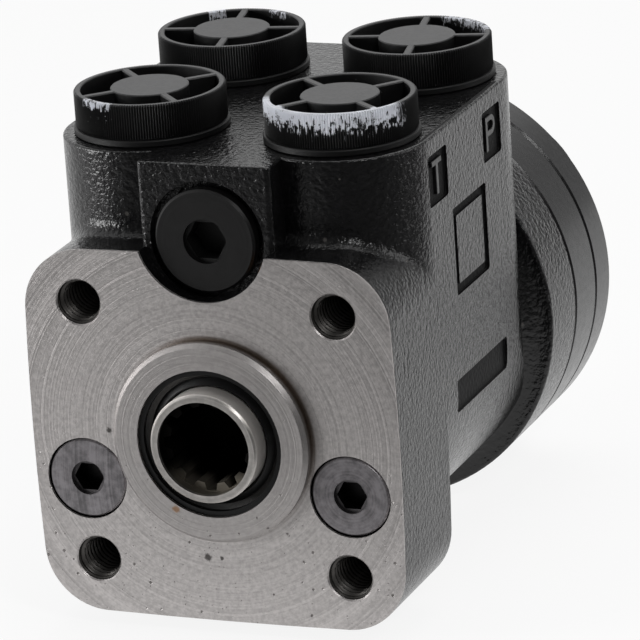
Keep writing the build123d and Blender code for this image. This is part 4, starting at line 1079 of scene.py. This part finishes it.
class PlugOperator(bpy.types.Operator):
    """Finish the relief valve's plug, the shock valves' plugs and what lies behind them"""

    bl_idname = "steering.plugs"
    bl_label = "Valve plugs"

    def execute(self, context):
        opts = context.scene.steering_plugs
        middle, shock = (0.0, 0.0434), (0.0304, -0.0108)
        black = oxide_material("blackened_plug", opts.relief, 0.0, 0.46, middle, 0.0034)
        dress(["relief_plug"], black)
        grey = oxide_material("burnished_plugs", opts.shock, 1.0, 0.42, shock, 0.0007)
        dress(["shock_plugs"], grey)
        hidden = oxide_material("valve_steel", (0.12, 0.12, 0.125), 1.0, 0.40, middle, 0.2)
        pieces = ["relief_adjuster", "relief_seat", "shock_adjusters", "suction_pins", "check_stop"]
        dress(pieces, hidden)
        return {"FINISHED"}


class SteelOperator(bpy.types.Operator):
    """Finish the spool's splined nose, the seals, the bearing and every inner piece"""

    bl_idname = "steering.steel"
    bl_label = "Steel and seals"

    def execute(self, context):
        opts = context.scene.steering_steel
        dress(["control_spool"], spool_material(opts.nose))
        ground = steel_material("ground_steel", opts.bright, 0.30, 0.0006, dark=0.75)
        dress(["control_sleeve", "spring_ring", "rotor_spacer", "gear_wheel"], ground)
        dress(["cross_pin", "cardan_shaft"], ground)
        polished = steel_material("polished_steel", opts.bright, 0.16, 0.0004, dark=0.9)
        dress(["check_ball", "relief_poppet"], polished)
        for side in ("_left", "_right"):
            dress(["shock_ball" + side, "suction_ball" + side], polished)
        springs = ["neutral_springs", "relief_spring", "shock_spring_left", "shock_spring_right"]
        races = ["bearing_outer_race", "bearing_cage", "bearing_needles", "bearing_inner_race"]
        dress(springs + races, steel_material("spring_steel", opts.spring, 0.28, 0.0004, dark=0.7))
        rubber = ["dust_seal", "shaft_seal_o_ring", "plate_o_ring", "cover_o_ring"]
        rubber += ["relief_plug_seal", "shock_plug_seals"]
        dress(rubber, rubber_material("seal_rubber", opts.rubber, 0.30))
        dress(["shaft_seal_ring"], rubber_material("seal_plastic", opts.seal_plastic, 0.45))
        return {"FINISHED"}


PIECES = {
    StageOperator: StageSettings,
    HousingOperator: HousingSettings,
    RingOperator: RingSettings,
    CapOperator: CapSettings,
    ThreadOperator: ThreadSettings,
    LetterOperator: LetterSettings,
    ScrewOperator: ScrewSettings,
    PlugOperator: PlugSettings,
    SteelOperator: SteelSettings,
}


def settings_name(operator):
    """The scene's property that holds an operator's settings."""
    return operator.bl_idname.replace(".", "_")


class SteeringPanel(bpy.types.Panel):
    """Buttons and values of the steering unit"""

    bl_idname = "VIEW3D_PT_steering_unit"
    bl_label = "Steering Unit"
    bl_space_type = "VIEW_3D"
    bl_region_type = "UI"
    bl_category = "Steering Unit"

    def draw(self, context):
        for operator, settings in PIECES.items():
            column = self.layout.column(align=True)
            column.operator(operator.bl_idname, text=operator.bl_label)
            values = getattr(context.scene, settings_name(operator))
            for key in settings.__annotations__:
                column.prop(values, key)


CLASSES = (*PIECES.values(), *PIECES, SteeringPanel)


def register():
    for cls in CLASSES:
        bpy.utils.register_class(cls)
    for operator, settings in PIECES.items():
        setattr(bpy.types.Scene, settings_name(operator), PointerProperty(type=settings))


def unregister():
    for operator in PIECES:
        delattr(bpy.types.Scene, settings_name(operator))
    for cls in reversed(CLASSES):
        bpy.utils.unregister_class(cls)


def main():
    register()
    for operator in PIECES:
        call = getattr(bpy.ops.steering, operator.bl_idname.split(".")[1])
        if "FINISHED" not in call():
            raise RuntimeError(operator.bl_idname + " did not finish")


if __name__ == "__main__":
    main()
